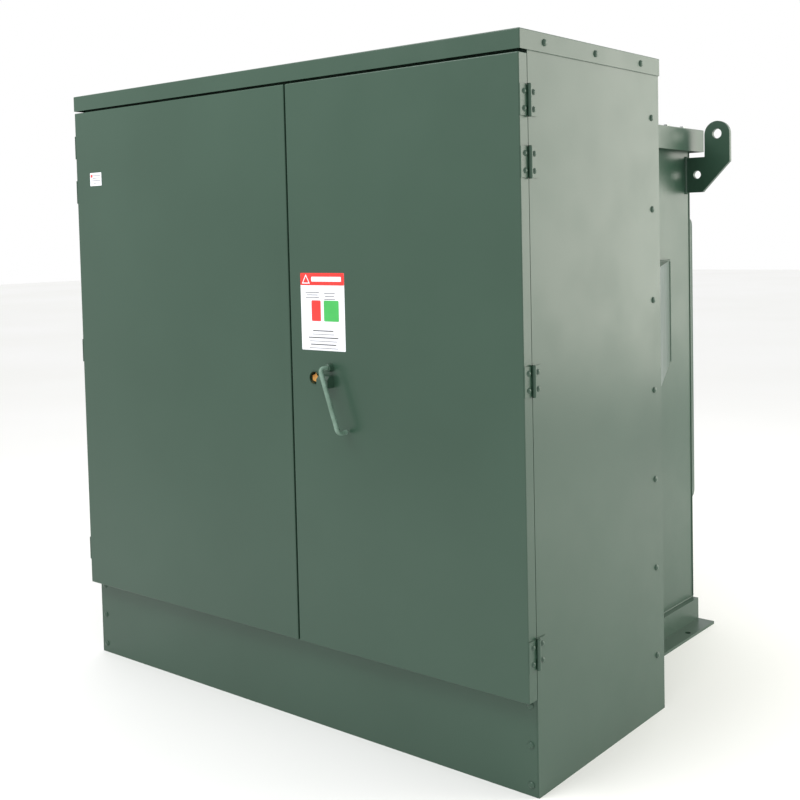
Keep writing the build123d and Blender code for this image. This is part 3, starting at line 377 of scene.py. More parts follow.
def make_fin_mesh():
    """Half channels on both faces of one fin, closed round its edge."""
    made = bmesh.new()
    columns, rows = channel_count * 10, 40
    half_thick = (fin_high.x - fin_low.x) / 2
    y_low, y_high = fin_low.y + fin_seam, fin_high.y - fin_seam
    z_low, z_high = fin_low.z + fin_seam, fin_high.z - fin_seam
    sheets = []
    for side in (-1, 1):
        grid = []
        for row in range(rows + 1):
            # Rows crowd towards both ends, where the channels close.
            up = 0.5 - 0.5 * cos(pi * row / rows)
            z = z_low + (z_high - z_low) * up
            line = []
            for column in range(columns + 1):
                across = column / columns
                inside = 0 < row < rows and 0 < column < columns
                stand = (half_thick - fin_sheet_half) * fin_bulge(across, up) if inside else 0.0
                x = side * (fin_sheet_half + stand)
                line.append(made.verts.new((x, y_low + (y_high - y_low) * across, z)))
            grid.append(line)
        sheets.append(grid)
        for below, above in zip(grid, grid[1:]):
            for i in range(columns):
                face = (below[i], below[i + 1], above[i + 1], above[i])
                made.faces.new(face if side > 0 else face[::-1])
    edges = []
    for grid in sheets:
        bottom, top = grid[0], grid[-1][::-1]
        right, left = [line[-1] for line in grid[1:-1]], [line[0] for line in grid[1:-1]][::-1]
        edges.append(bottom + right + top + left)
    count = len(edges[0])
    rims = []
    for side, loop in zip((-1, 1), edges):
        rim = []
        for vert in loop:
            out_y = min(max(vert.co.y, y_low + fin_corner), y_high - fin_corner)
            out_z = min(max(vert.co.z, z_low + fin_corner), z_high - fin_corner)
            away = Vector((vert.co.y - out_y, vert.co.z - out_z))
            away = away.normalized() * (fin_corner + fin_seam) if away.length else away
            rim.append(made.verts.new((side * fin_sheet_half, out_y + away.x, out_z + away.y)))
        rims.append(rim)
    for i in range(count):
        j = (i + 1) % count
        made.faces.new((edges[1][i], rims[1][i], rims[1][j], edges[1][j]))
        made.faces.new((edges[0][j], rims[0][j], rims[0][i], edges[0][i]))
        made.faces.new((rims[1][i], rims[0][i], rims[0][j], rims[1][j]))
    bmesh.ops.remove_doubles(made, verts=made.verts, dist=1e-6)
    bmesh.ops.recalc_face_normals(made, faces=made.faces)
    mesh = keep_mesh(made, "pressed_fin")
    mesh.shade_smooth()
    return mesh


fin_tree, fin_sizes = make_fin_tree()
fins = grow(
    "pressed_fins", make_fin_mesh(), fin_tree,
    {
        fin_sizes["spacing"]: fin_spacing,
        fin_sizes["count"]: fin_count,
        fin_sizes["start"]: (fin_low.x + fin_high.x) / 2,
    },
)
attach(fins, "cabinet")
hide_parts("radiator_fins")


# ---- Cover gasket and cover bolts ----
# A flat ring of nitrile rubber is squeezed between the tank's flange and the cover by zinc plated
# hexagon bolts. Only the bolt heads and the rubber's edge can be seen.
def make_plain(name, low, high, size, roughness, settings=None, depth=0.0002, strength=0.1):
    """A solid finish: two near colours in patches, two roughnesses and a fine grain."""
    material, tree, place = start_material(name)
    finish(
        tree,
        settings or {},
        {
            "Base Color": mottle(tree, place, size, linear(low), linear(high)),
            "Roughness": mottle(tree, place, size / 3, grey(roughness[0]), grey(roughness[1])),
            "Normal": grain(tree, place, size / 20, depth, strength),
        },
    )
    return material


# Cut sheet rubber: nearly black, dull, with a faint bloom.
nitrile_rubber = make_plain("nitrile_rubber", "#1B1B1A", "#262524", 0.05, (0.65, 0.8), {"IOR": 1.52})
# Zinc plated steel: pale blue-grey metal, bright on flats and cloudy where handled.
zinc_plate = make_plain("zinc_plated_steel", "#A9AEB0", "#C3C6C4", 0.03, (0.25, 0.42), {"Metallic": 1.0})
dress(nitrile_rubber, "cover_gasket")
dress(zinc_plate, "cover_bolts", "latch_cam", "latch_rod_upper", "latch_rod_lower", "lock_bolt_washer",
      "relief_ring", "ground_pads")


# ---- Round-head bolts of the cabinet ----
# The hood, side sheets and sill are held by domed carriage bolts with hexagon nuts inside.
# They are steel, fitted before painting, so their heads are green like the sheets.
def end_on_seats(tree, inlet, shape, material):
    """Copy one shape to every seat, turned to face outward, and end the tree."""
    outward = add(
        tree, "GeometryNodeInputNamedAttribute", {"data_type": "FLOAT_VECTOR", "Name": "outward"}
    )
    turn = add(
        tree, "FunctionNodeAlignRotationToVector", {"axis": "Z"}, {"Vector": outward.outputs["Attribute"]}
    )
    copies = add(
        tree, "GeometryNodeInstanceOnPoints",
        links={"Points": inlet["Geometry"], "Instance": shape.outputs[0], "Rotation": turn.outputs[0]},
    )
    end_tree(tree, copies.outputs["Instances"], material)


def move_up(tree, shape, height):
    """Lift a shape by a height that the tree works out."""
    up = add(tree, "ShaderNodeCombineXYZ", links={"Z": height})
    return add(
        tree, "GeometryNodeTransform",
        links={"Geometry": shape.outputs["Mesh"], "Translation": up.outputs[0]},
    )


def join(tree, pieces):
    """Put several shapes together as one."""
    whole = add(tree, "GeometryNodeJoinGeometry")
    for piece in pieces:
        tree.links.new(piece.outputs[0], whole.inputs[0])
    return whole


def make_bolt_tree():
    """Put a domed head, shank and nut at each seat, turned to face outward."""
    tree = start_tree("round_head_bolts")
    sizes = {
        "head": socket(tree, "Head radius", 0.008),
        "height": socket(tree, "Head height", 0.005),
        "shank": socket(tree, "Shank radius", 0.005),
        "grip": socket(tree, "Grip", 0.006),
        "nut": socket(tree, "Nut height", 0.006),
    }
    inlet = add(tree, "NodeGroupInput").outputs
    ball = add(tree, "GeometryNodeMeshUVSphere", {"Segments": 28, "Rings": 14, "Radius": 1.0})
    squash = add(
        tree, "ShaderNodeCombineXYZ",
        links={"X": inlet["Head radius"], "Y": inlet["Head radius"], "Z": inlet["Head height"]},
    )
    dome = add(
        tree, "GeometryNodeTransform", links={"Geometry": ball.outputs["Mesh"], "Scale": squash.outputs[0]}
    )
    # The dome's lower half is cut away, so nothing of it shows inside the sheet.
    rim_z, segments = -0.00001, 28
    height = add(tree, "GeometryNodeInputPosition")
    parts = add(tree, "ShaderNodeSeparateXYZ", links={"Vector": height.outputs[0]})
    below = add(
        tree, "FunctionNodeCompare", {"operation": "LESS_THAN", "B": rim_z}, {"A": parts.outputs["Z"]}
    )
    cap = add(
        tree, "GeometryNodeDeleteGeometry", {"domain": "POINT"},
        {"Geometry": dome.outputs["Geometry"], "Selection": below.outputs[0]},
    )
    smooth = add(tree, "GeometryNodeSetShadeSmooth", links={"Geometry": cap.outputs[0]})
    floor = add(
        tree, "GeometryNodeMeshCircle", {"fill_type": "NGON", "Vertices": segments},
        {"Radius": inlet["Head radius"]},
    )
    total = work_out(tree, "ADD", inlet["Grip"], inlet["Nut height"])
    shank = add(
        tree, "GeometryNodeMeshCylinder", {"Vertices": 16},
        {"Radius": inlet["Shank radius"], "Depth": total},
    )
    half = work_out(tree, "MULTIPLY", total, -0.5)
    nut_over_shank = 1.7
    across = work_out(tree, "MULTIPLY", inlet["Shank radius"], nut_over_shank)
    nut = add(
        tree, "GeometryNodeMeshCylinder", {"Vertices": 6},
        {"Radius": across, "Depth": inlet["Nut height"]},
    )
    nut_half = work_out(tree, "MULTIPLY", inlet["Nut height"], -0.5)
    nut_low = work_out(tree, "SUBTRACT", nut_half, inlet["Grip"])
    whole = join(tree, (smooth, floor, move_up(tree, shank, half), move_up(tree, nut, nut_low)))
    end_on_seats(tree, inlet, whole, powder_coat)
    return tree, sizes


bolt_tree, bolt_sizes = make_bolt_tree()


def seats_mesh(name, seats):
    """A cloud of points, each with the direction it faces."""
    mesh = bpy.data.meshes.new(name + "_seats")
    mesh.from_pydata([seat for seat, _ in seats], [], [])
    facing = mesh.attributes.new("outward", "FLOAT_VECTOR", "POINT")
    for entry, (_, outward) in zip(facing.data, seats):
        entry.vector = outward
    return mesh


def set_bolts(name, seats, body, **sizes):
    """One piece of bolts from a list of (seat, outward direction)."""
    values = {bolt_sizes[key]: value for key, value in sizes.items()}
    piece = grow(name, seats_mesh(name, seats), bolt_tree, values)
    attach(piece, body)
    return piece


head_height, edge_band = 0.005, 0.015
cabinet_seats = []
_, hood_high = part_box("hood")
for low, high in separate_solids("cabinet_bolts"):
    middle = (low + high) / 2
    if abs(middle.x) < hood_high.x - edge_band:
        seat, outward = Vector((middle.x, low.y + head_height, middle.z)), (0, -1, 0)
    else:
        side = 1 if middle.x > 0 else -1
        outer = high.x - head_height if side > 0 else low.x + head_height
        seat, outward = Vector((outer, middle.y, middle.z)), (side, 0, 0)
    cabinet_seats.append((seat, outward))
heads = set_bolts("cabinet_round_head_bolts", cabinet_seats, "cabinet", head=0.008, height=head_height)
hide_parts("cabinet_bolts")


# ---- Warning plate and small sticker on the doors ----
# The right door carries a screen-printed vinyl sheet with a red heading, and the left a small
# printed label. Both are stuck straight onto the paint, and neither has any wording here.
def make_print(name, code):
    """One flat printing ink on satin vinyl."""
    base = [int(code[i:i + 2], 16) for i in (1, 3, 5)]
    softer = "#" + "".join(f"{max(0, part - 6):02X}" for part in base)
    return make_plain(name, softer, code, 0.04, (0.32, 0.40), {"IOR": 1.5}, 0.00005)


vinyl_white = make_print("white_vinyl", "#ECEDF3")
ink_red = make_print("red_ink", "#E8352F")
ink_green = make_print("green_ink", "#43B357")
ink_black = make_print("black_ink", "#1D1E20")
ink_grey = make_print("grey_ink", "#5A5C60")


def cut_sheet(name, outlines, front, thickness, material, body):
    """Flat pieces of vinyl, given by outlines across X and Z, standing on a door's face."""
    made = bmesh.new()
    for outline in outlines:
        near = [made.verts.new((x, front - thickness, z)) for x, z in outline]
        far = [made.verts.new((x, front, z)) for x, z in outline]
        made.faces.new(near)
        made.faces.new(far[::-1])
        for i, j in zip(range(len(outline)), [*range(1, len(outline)), 0]):
            made.faces.new((near[j], near[i], far[i], far[j]))
    bmesh.ops.recalc_face_normals(made, faces=made.faces)
    mesh = keep_mesh(made, name)
    mesh.materials.append(material)
    piece = link_in(mesh)
    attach(piece, body)


def rounded(x, z, width, height, radius, steps=5):
    """The outline of a rectangle with round corners, from its lower left corner."""
    points = []
    centres = (
        (x + width - radius, z + radius, 270), (x + width - radius, z + height - radius, 0),
        (x + radius, z + height - radius, 90), (x + radius, z + radius, 180),
    )
    for centre_x, centre_z, start in centres:
        for step in range(steps + 1):
            turn = radians(start + 90 * step / steps)
            points.append((centre_x + radius * cos(turn), centre_z + radius * sin(turn)))
    return points


def bars(x, z, widths, height, pitch):
    """A stack of plain bars that stand in for lines of print, centred on x."""
    return [
        [(x - w / 2, z - i * pitch), (x + w / 2, z - i * pitch), (x + w / 2, z - i * pitch + height),
         (x - w / 2, z - i * pitch + height)]
        for i, w in enumerate(widths)
    ]


right_low, right_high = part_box("door_right")
left_low, left_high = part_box("door_left")
face_y = right_low.y
vinyl = 0.0003
plate_width, plate_height = 0.1415, 0.1855
plate_x = right_low.x + 0.0365
plate_z = right_high.z - 0.457 - plate_height
heading = 0.0295
middle_x = plate_x + plate_width / 2
heading_z = plate_z + plate_height - heading


def plate_layer(name, outlines, material, level=1):
    """One printed layer of the warning plate, each a hair in front of the last."""
    cut_sheet(name, outlines, face_y - vinyl * level, vinyl / 3, material, "right_door")


cut_sheet(
    "warning_plate", [rounded(plate_x, plate_z, plate_width, plate_height, 0.002)], face_y, vinyl,
    vinyl_white, "right_door",
)
plate_layer(
    "warning_plate_heading", [rounded(plate_x, heading_z, plate_width, heading, 0.002)], ink_red
)
triangle_x, triangle_z, triangle_side = plate_x + 0.018, heading_z + 0.004, 0.026
tall = triangle_side * sin(radians(60))
outer_triangle = [
    (triangle_x - triangle_side / 2, triangle_z), (triangle_x + triangle_side / 2, triangle_z),
    (triangle_x, triangle_z + tall),
]
inner_triangle = [
    (triangle_x + (x - triangle_x) * 0.68, triangle_z + 0.0025 + (z - triangle_z) * 0.68)
    for x, z in outer_triangle
]
plate_layer("warning_plate_triangle", [outer_triangle], vinyl_white, 1.4)
plate_layer("warning_plate_triangle_field", [inner_triangle], ink_red, 1.8)
plate_layer(
    "warning_plate_heading_bar",
    [rounded(plate_x + 0.036, heading_z + 0.009, 0.096, 0.0115, 0.002)], vinyl_white, 1.4,
)
# Two plain blocks of colour side by side take the place of a picture.
block_z, block_tall = plate_z + 0.070, 0.050
plate_layer(
    "warning_plate_green_block",
    [rounded(middle_x + 0.004, block_z, 0.048, block_tall, 0.003)], ink_green,
)
plate_layer(
    "warning_plate_red_block",
    [rounded(middle_x - 0.036, block_z, 0.030, block_tall, 0.003)], ink_red,
)
plate_layer(
    "warning_plate_upper_bars",
    bars(plate_x + 0.038, plate_z + 0.138, (0.044, 0.036, 0.044), 0.0016, 0.006)
    + bars(plate_x + 0.094, plate_z + 0.136, (0.034, 0.030, 0.034), 0.0016, 0.007),
    ink_grey,
)
plate_layer(
    "warning_plate_lower_bars",
    bars(middle_x, plate_z + 0.046, (0.066, 0.096, 0.082), 0.0022, 0.0165), ink_black,
)
plate_layer(
    "warning_plate_thin_bars",
    bars(middle_x, plate_z + 0.038, (0.070, 0.088, 0.092), 0.0012, 0.0165), ink_grey,
)
sticker_width, sticker_height = 0.052, 0.037
sticker_x = left_low.x + 0.064
sticker_z = left_high.z - 0.174 - sticker_height
cut_sheet(
    "stock_sticker", [rounded(sticker_x, sticker_z, sticker_width, sticker_height, 0.001)], face_y, vinyl,
    vinyl_white, "left_door",
)
cut_sheet(
    "stock_sticker_bars",
    bars(sticker_x + 0.028, sticker_z + 0.028, (0.038, 0.032, 0.038, 0.026), 0.0015, 0.007),
    face_y - vinyl, vinyl / 3, ink_grey, "left_door",
)
cut_sheet(
    "stock_sticker_mark", [rounded(sticker_x + 0.003, sticker_z + 0.024, 0.008, 0.008, 0.001)],
    face_y - vinyl, vinyl / 3, ink_red, "left_door",
)


# ---- Door handle ----
# The handle is a length of 11 mm round bar, bent hot at three places and rounded at its free end.
# Its shaft turns in the boss on the right door. Its green is drawn lighter than the door's, a painted
# sheen for the pale shine of the round bar.
def make_rubbed_coat():
    """The same green coat drawn lighter, a painted sheen for the round bar's pale shine."""
    material, tree, place = start_material("painted_sheen_green_powder_coat")
    finish(
        tree,
        {"IOR": 1.5},
        {
            # Lighter greens than the door's coat: painted sheen for the bar's pale shine.
            "Base Color": mottle(tree, place, 0.02, linear("#5F7A6A"), linear("#748F80")),
            "Roughness": mottle(tree, place, 0.012, grey(0.26), grey(0.38)),
            "Normal": grain(tree, place, 0.004, 0.0002, 0.08),
        },
    )
    return material


sheen_lightened_coat = make_rubbed_coat()


def make_bar_tree():
    """Round a bent line's corners and sweep a circle along it."""
    tree = start_tree("bent_bar")
    sizes = {
        "radius": socket(tree, "Radius", 0.0055),
        "bend": socket(tree, "Bend radius", 0.011),
    }
    inlet = add(tree, "NodeGroupInput").outputs
    bent = add(
        tree, "GeometryNodeFilletCurve", {"mode": "POLY", "Count": 10, "Limit Radius": True},
        {"Curve": inlet["Geometry"], "Radius": inlet["Bend radius"]},
    )
    ring = add(tree, "GeometryNodeCurvePrimitiveCircle", {"Resolution": 28}, {"Radius": inlet["Radius"]})
    swept = add(
        tree, "GeometryNodeCurveToMesh", {"Fill Caps": True},
        {"Curve": bent.outputs["Curve"], "Profile Curve": ring.outputs["Curve"]},
    )
    smooth = add(tree, "GeometryNodeSetShadeSmooth", links={"Geometry": swept.outputs["Mesh"]})
    end_tree(tree, smooth.outputs["Geometry"], sheen_lightened_coat)
    return tree, sizes


def make_handle():
    """The handle's bar along the route its CAD part takes, with a rounded free end."""
    low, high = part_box("handle_rod")
    radius, bend, tip_gap = 0.0055, 0.011, 0.005
    top = Vector((low.x + radius, low.y + radius, high.z - radius))
    bottom = Vector((high.x - radius, low.y + radius, low.z + radius))
    tip = Vector((bottom.x, face_y - tip_gap - radius, bottom.z))
    line = draw_line("handle_line", [[Vector((top.x, high.y, top.z)), top, bottom, tip]])
    tree, sizes = make_bar_tree()
    piece = grow("door_handle_bar", line, tree, {sizes["radius"]: radius, sizes["bend"]: bend})
    made = bmesh.new()
    made.from_mesh(piece.data)
    bmesh.ops.create_uvsphere(
        made, u_segments=28, v_segments=14, radius=radius, matrix=Matrix.Translation(tip)
    )
    for face in made.faces:
        face.smooth = True
    made.to_mesh(piece.data)
    made.free()
    return piece


handle = make_handle()
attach(handle, "handle")
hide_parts("handle_rod")


# ---- Lock and hasp ----
# The lock is a captive brass bolt with a five-sided head, sunk in a cup so that only its own
# socket reaches it. The hasp beside it is folded sheet, pinned to the door by one bright rivet.
# Brass: warm yellow metal, browned a little in the hollows and scratched bright by the socket.
brass = make_plain(
    "turned_brass", "#A8713A", "#D9A55F", 0.012, (0.24, 0.42), {"Metallic": 1.0}, strength=0.25
)
dress(brass, "lock_bolt", "relief_valve", "drain_valve")
# Aluminium: pale silver, with the soft shine of a drawn rivet.
rivet_metal = make_plain("drawn_aluminium", "#C9CCCB", "#DEDFDD", 0.01, (0.22, 0.34), {"Metallic": 1.0})


def make_rivet_tree():
    """Put a domed rivet head on each seat, turned to face outward."""
    tree = start_tree("rivets")
    sizes = {"head": socket(tree, "Head radius", 0.005)}
    inlet = add(tree, "NodeGroupInput").outputs
    ball = add(
        tree, "GeometryNodeMeshUVSphere", {"Segments": 20, "Rings": 12}, {"Radius": inlet["Head radius"]}
    )
    squash = (1.0, 1.0, 0.6)
    flat = add(tree, "GeometryNodeTransform", {"Scale": squash}, {"Geometry": ball.outputs["Mesh"]})
    smooth = add(tree, "GeometryNodeSetShadeSmooth", links={"Geometry": flat.outputs[0]})
    end_on_seats(tree, inlet, smooth, rivet_metal)
    return tree, sizes


rivet_tree, rivet_sizes = make_rivet_tree()


def set_rivets(name, seats, radius, body):
    """One piece of rivets from a list of (seat, outward direction)."""
    piece = grow(name, seats_mesh(name, seats), rivet_tree, {rivet_sizes["head"]: radius})
    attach(piece, body)
    return piece


hasp_low, hasp_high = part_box("padlock_hasp")
hasp_top = Vector((hasp_low.x + 0.008, hasp_low.y + 0.012, hasp_high.z))
set_rivets("hasp_rivet", [(hasp_top, (0, 0, 1))], 0.0045, "right_door")


# ---- High-voltage side: bushings, elbow stands and fuses ----
# Three moulded rubber bushing wells pass the cables' current into the tank, each held by four studs.
# Above each is a draw-out fuse in an epoxy tube, and below it a steel stand parks a lifted elbow.
# Moulded EPDM: near black, satin, with a slight bloom.
bushing_rubber = make_plain("moulded_epdm_rubber", "#1C1D1F", "#2A2B2D", 0.04, (0.42, 0.58), {"IOR": 1.5})
# Cast epoxy: a cool mid grey with a smooth satin skin.
grey_epoxy = make_plain("cast_grey_epoxy", "#7A8084", "#878D90", 0.05, (0.38, 0.5), {"IOR": 1.55})
# Phenolic: black and hard, polished where it is gripped.
phenolic = make_plain("black_phenolic", "#161616", "#201F1E", 0.03, (0.26, 0.4), {"IOR": 1.6})
dress(bushing_rubber, "hv_bushings")
dress(grey_epoxy, "fuse_housings", "lv_bushings")
dress(phenolic, "fuse_1", "fuse_2", "fuse_3", "tap_knob")


def make_nut_tree():
    """Put a hexagon nut and a stud's end on each seat, turned to face outward."""
    tree = start_tree("stud_nuts")
    sizes = {
        "nut": socket(tree, "Nut radius", 0.0086),
        "height": socket(tree, "Nut height", 0.0085),
        "stud": socket(tree, "Stud radius", 0.0043),
        "reach": socket(tree, "Stud reach", 0.0145),
    }
    inlet = add(tree, "NodeGroupInput").outputs
    lifted = []
    for sides, radius, depth in ((6, "Nut radius", "Nut height"), (18, "Stud radius", "Stud reach")):
        block = add(
            tree, "GeometryNodeMeshCylinder", {"Vertices": sides},
            {"Radius": inlet[radius], "Depth": inlet[depth]},
        )
        half = work_out(tree, "MULTIPLY", inlet[depth], 0.5)
        lifted.append(move_up(tree, block, half))
    whole = join(tree, lifted)
    end_on_seats(tree, inlet, whole, zinc_plate)
    return tree, sizes


nut_tree, _ = make_nut_tree()
wall_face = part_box("ground_pads")[1].y
flange, stud_inset, widest_stud = 0.012, 0.009, 0.05
flange_front = wall_face - flange
bushings = [pair for pair in separate_solids("hv_bushings") if pair[1].x - pair[0].x > widest_stud]
nut_seats = []
for low, high in bushings:
    centre = (low + high) / 2
    reach = (high.x - low.x) / 2 - stud_inset
    for turn in (45, 135, 225, 315):
        seat = (centre.x + reach * cos(radians(turn)), flange_front, centre.z + reach * sin(radians(turn)))
        nut_seats.append((seat, (0, -1, 0)))
bushing_nuts = grow("bushing_stud_nuts", seats_mesh("bushing_stud_nuts", nut_seats), nut_tree, {})
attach(bushing_nuts, "cabinet")


# ---- Low-voltage side: bushings and spade terminals ----
# Four epoxy bushings carry the heavy low-voltage current. A tin plated copper spade is screwed on
# each stud, drilled with four holes so that cable lugs can be bolted flat against it.
# Tin plate: soft grey-white metal, dulled in clouds.
tinned_copper = make_plain("tinned_copper", "#B9B5AC", "#D0CDC5", 0.02, (0.3, 0.46), {"Metallic": 1.0})
dress(tinned_copper, "lv_spades")


# ---- Switch, tap changer and their handles ----
# Both spindles turn in sand-cast aluminium glands bolted through the wall. The load-break switch
# has a two-armed cast handle with holes for a hot stick, the tap changer a moulded pointer knob.
# Sand-cast aluminium: dull silver with a pitted skin about 1 mm across, drawn at 2 mm.
cast_aluminium = make_plain(
    "sand_cast_aluminium", "#9A9C9C", "#B3B5B4", 0.04, (0.42, 0.58), {"Metallic": 1.0}, 0.0006, 0.45
)
dress(cast_aluminium, "switch_gland", "tap_changer_gland", "switch_handle", "gauge_bodies")


# ---- Gauges ----
# Oil level and oil temperature show on two cast dial cases. Each has a white printed face with
# ticks, a black needle moved by a magnet from inside the tank, and a flat glass front.
dial_white = make_plain("white_dial_enamel", "#F0F0EC", "#F6F6F3", 0.03, (0.4, 0.5), {"IOR": 1.5}, 0.00003)
dial_ink = make_plain("black_dial_ink", "#161616", "#1D1D1D", 0.02, (0.5, 0.6), {"IOR": 1.5}, 0.00003)
dial_red = make_plain("red_dial_ink", "#B5231D", "#C22B24", 0.02, (0.45, 0.55), {"IOR": 1.5}, 0.00003)
dress(dial_ink, "level_needle", "thermometer_needle")


def make_glass():
    """Clear float glass: colourless, with a polished face."""
    material, tree, place = start_material("clear_float_glass")
    finish(
        tree,
        {"IOR": 1.5, "Transmission Weight": 1.0, "Base Color": linear("#F4FAF8")},
        {"Roughness": mottle(tree, place, 0.02, grey(0.0), grey(0.03))},
    )
    return material


dress(make_glass(), "gauge_glasses")


def make_tick_tree():
    """Lay short bars round an arc, pointing at its centre."""
    tree = start_tree("dial_ticks")
    sizes = {
        "radius": socket(tree, "Radius", 0.034),
        "count": socket(tree, "Count", 25, "NodeSocketInt"),
        "start": socket(tree, "Start", 0.0),
        "sweep": socket(tree, "Sweep", 1.0),
        "length": socket(tree, "Length", 0.004),
        "width": socket(tree, "Width", 0.0008),
        "ink": socket(tree, "Ink", None, "NodeSocketMaterial"),
    }
    inlet = add(tree, "NodeGroupInput").outputs
    arc = add(
        tree, "GeometryNodeCurveArc", {"mode": "RADIUS"},
        {"Resolution": inlet["Count"], "Radius": inlet["Radius"], "Start Angle": inlet["Start"],
         "Sweep Angle": inlet["Sweep"]},
    )
    points = add(tree, "GeometryNodeCurveToPoints", {"mode": "EVALUATED"}, {"Curve": arc.outputs["Curve"]})
    place = add(tree, "GeometryNodeInputPosition")
    turn = add(
        tree, "FunctionNodeAlignRotationToVector", {"axis": "X"}, {"Vector": place.outputs[0]}
    )
    size = add(
        tree, "ShaderNodeCombineXYZ", {"Z": 0.0002}, {"X": inlet["Length"], "Y": inlet["Width"]}
    )
    tick = add(tree, "GeometryNodeMeshCube", links={"Size": size.outputs[0]})
    copies = add(
        tree, "GeometryNodeInstanceOnPoints",
        links={"Points": points.outputs["Points"], "Instance": tick.outputs["Mesh"],
               "Rotation": turn.outputs[0]},
    )
    real = add(tree, "GeometryNodeRealizeInstances", links={"Geometry": copies.outputs["Instances"]})
    painted = add(
        tree, "GeometryNodeSetMaterial", links={"Geometry": real.outputs[0], "Material": inlet["Ink"]}
    )
    add(tree, "NodeGroupOutput", links={"Geometry": painted.outputs["Geometry"]})
    return tree, sizes


tick_tree, tick_sizes = make_tick_tree()


def stand_up(piece, centre):
    """Turn a flat mesh made at the origin to face the doors, and put it at its place."""
    piece.data.transform(Matrix.Translation(centre) @ Matrix.Rotation(radians(90), 4, "X"))


def ring_of_ticks(name, centre, ink, **values):
    """One ring of printed ticks on a dial."""
    start = bpy.data.meshes.new(name + "_start")
    sizes = {tick_sizes[key]: value for key, value in values.items()}
    piece = grow(name, start, tick_tree, {**sizes, tick_sizes["ink"]: ink})
    stand_up(piece, centre)
    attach(piece, "cabinet")


def make_dial(name, centre, radius, sweep, numbers):
    """The white disc, its ticks, a red stretch at the top of the scale and its numbers."""
    made = bmesh.new()
    bmesh.ops.create_cone(
        made, cap_ends=True, segments=64, radius1=radius, radius2=radius, depth=0.0006
    )
    mesh = keep_mesh(made, name + "_face")
    mesh.materials.append(dial_white)
    face = link_in(mesh)
    stand_up(face, centre)
    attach(face, "cabinet")
    # Angles run anticlockwise from three o'clock, so the scale starts on the left and ends on the right.
    first, last = radians(90 + sweep / 2), radians(90 - sweep / 2)
    front = centre - Vector((0, 0.0004, 0))
    ring_of_ticks(
        name + "_fine_ticks", front, dial_ink, radius=radius * 0.86, count=int(sweep / 6) + 1, start=last,
        sweep=first - last, length=0.0025, width=0.0004,
    )
    ring_of_ticks(
        name + "_main_ticks", front, dial_ink, radius=radius * 0.84, count=len(numbers), start=last,
        sweep=first - last, length=0.0045, width=0.0010,
    )
    ring_of_ticks(
        name + "_red_ticks", front, dial_red, radius=radius * 0.95, count=40, start=last,
        sweep=(first - last) * 0.2, length=0.0016, width=0.0012,
    )
    for step, number in enumerate(numbers):
        angle = first + (last - first) * step / (len(numbers) - 1)
        text = bpy.data.curves.new(f"{name}_{number}", "FONT")
        text.body = str(number)
        text.size = 0.0072
        text.align_x = "CENTER"
        text.align_y = "CENTER"
        text.extrude = 0.0001
        letter = link_in(text)
        evaluated = letter.evaluated_get(bpy.context.evaluated_depsgraph_get())
        flat = bpy.data.meshes.new_from_object(evaluated)
        bpy.data.objects.remove(letter)
        flat.name = f"{name}_{number}"
        flat.materials.clear()
        flat.materials.append(dial_ink)
        made_number = link_in(flat)
        stand_up(made_number, front + Vector((cos(angle), 0, sin(angle))) * radius * 0.64)
        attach(made_number, "cabinet")


case_boxes = sorted(separate_solids("gauge_bodies"), key=lambda pair: pair[0].x)
dial_y = wall_face - 0.0124
case_rim = 0.0034
dial_plans = (
    ("level_dial", 120, (0, 1, 2, 3, 4)),
    ("thermometer_dial", 240, (0, 20, 40, 60, 80, 100, 120)),
)
for (low, high), (name, sweep, numbers) in zip(case_boxes, dial_plans):
    centre = Vector(((low.x + high.x) / 2, dial_y, (low.z + high.z) / 2))
    make_dial(name, centre, (high.x - low.x) / 2 - case_rim, sweep, numbers)


# ---- Drain valve's handwheel ----
# The brass drain and sampling valve has a cast iron handwheel, dipped in red enamel.
# Dipped enamel: a deep glossy red, thick enough to look wet.
red_enamel = make_plain(
    "dipped_red_enamel", "#9C2119", "#B02A20", 0.03, (0.18, 0.28), {"IOR": 1.55}, 0.0003
)
dress(red_enamel, "drain_handwheel")


# ---- Nameplate ----
# The rating plate is a sheet of aluminium, brushed lengthways and etched, on four rivets.
# Its print is plain bars here, with no words or figures.
def make_brushed(name, low, high, along):
    """Metal with straight fine scratches along one axis, drawn 1 mm apart so that they show."""
    material, tree, place = start_material(name)
    scale = [1.0, 1.0, 1.0]
    scale[along] = 0.02
    stretched = add(tree, "ShaderNodeMapping", {"Scale": scale}, {"Vector": place}).outputs["Vector"]
    finish(
        tree,
        {"Metallic": 1.0},
        {
            "Base Color": mottle(tree, stretched, 0.004, linear(low), linear(high)),
            "Roughness": mottle(tree, stretched, 0.002, grey(0.28), grey(0.42)),
            "Normal": grain(tree, stretched, 0.001, 0.0001, 0.2),
        },
    )
    return material


# Brushed aluminium: bright, with a long streak of light across the plate.
dress(make_brushed("brushed_aluminium", "#C4C7C7", "#DADBDA", 0), "nameplate")


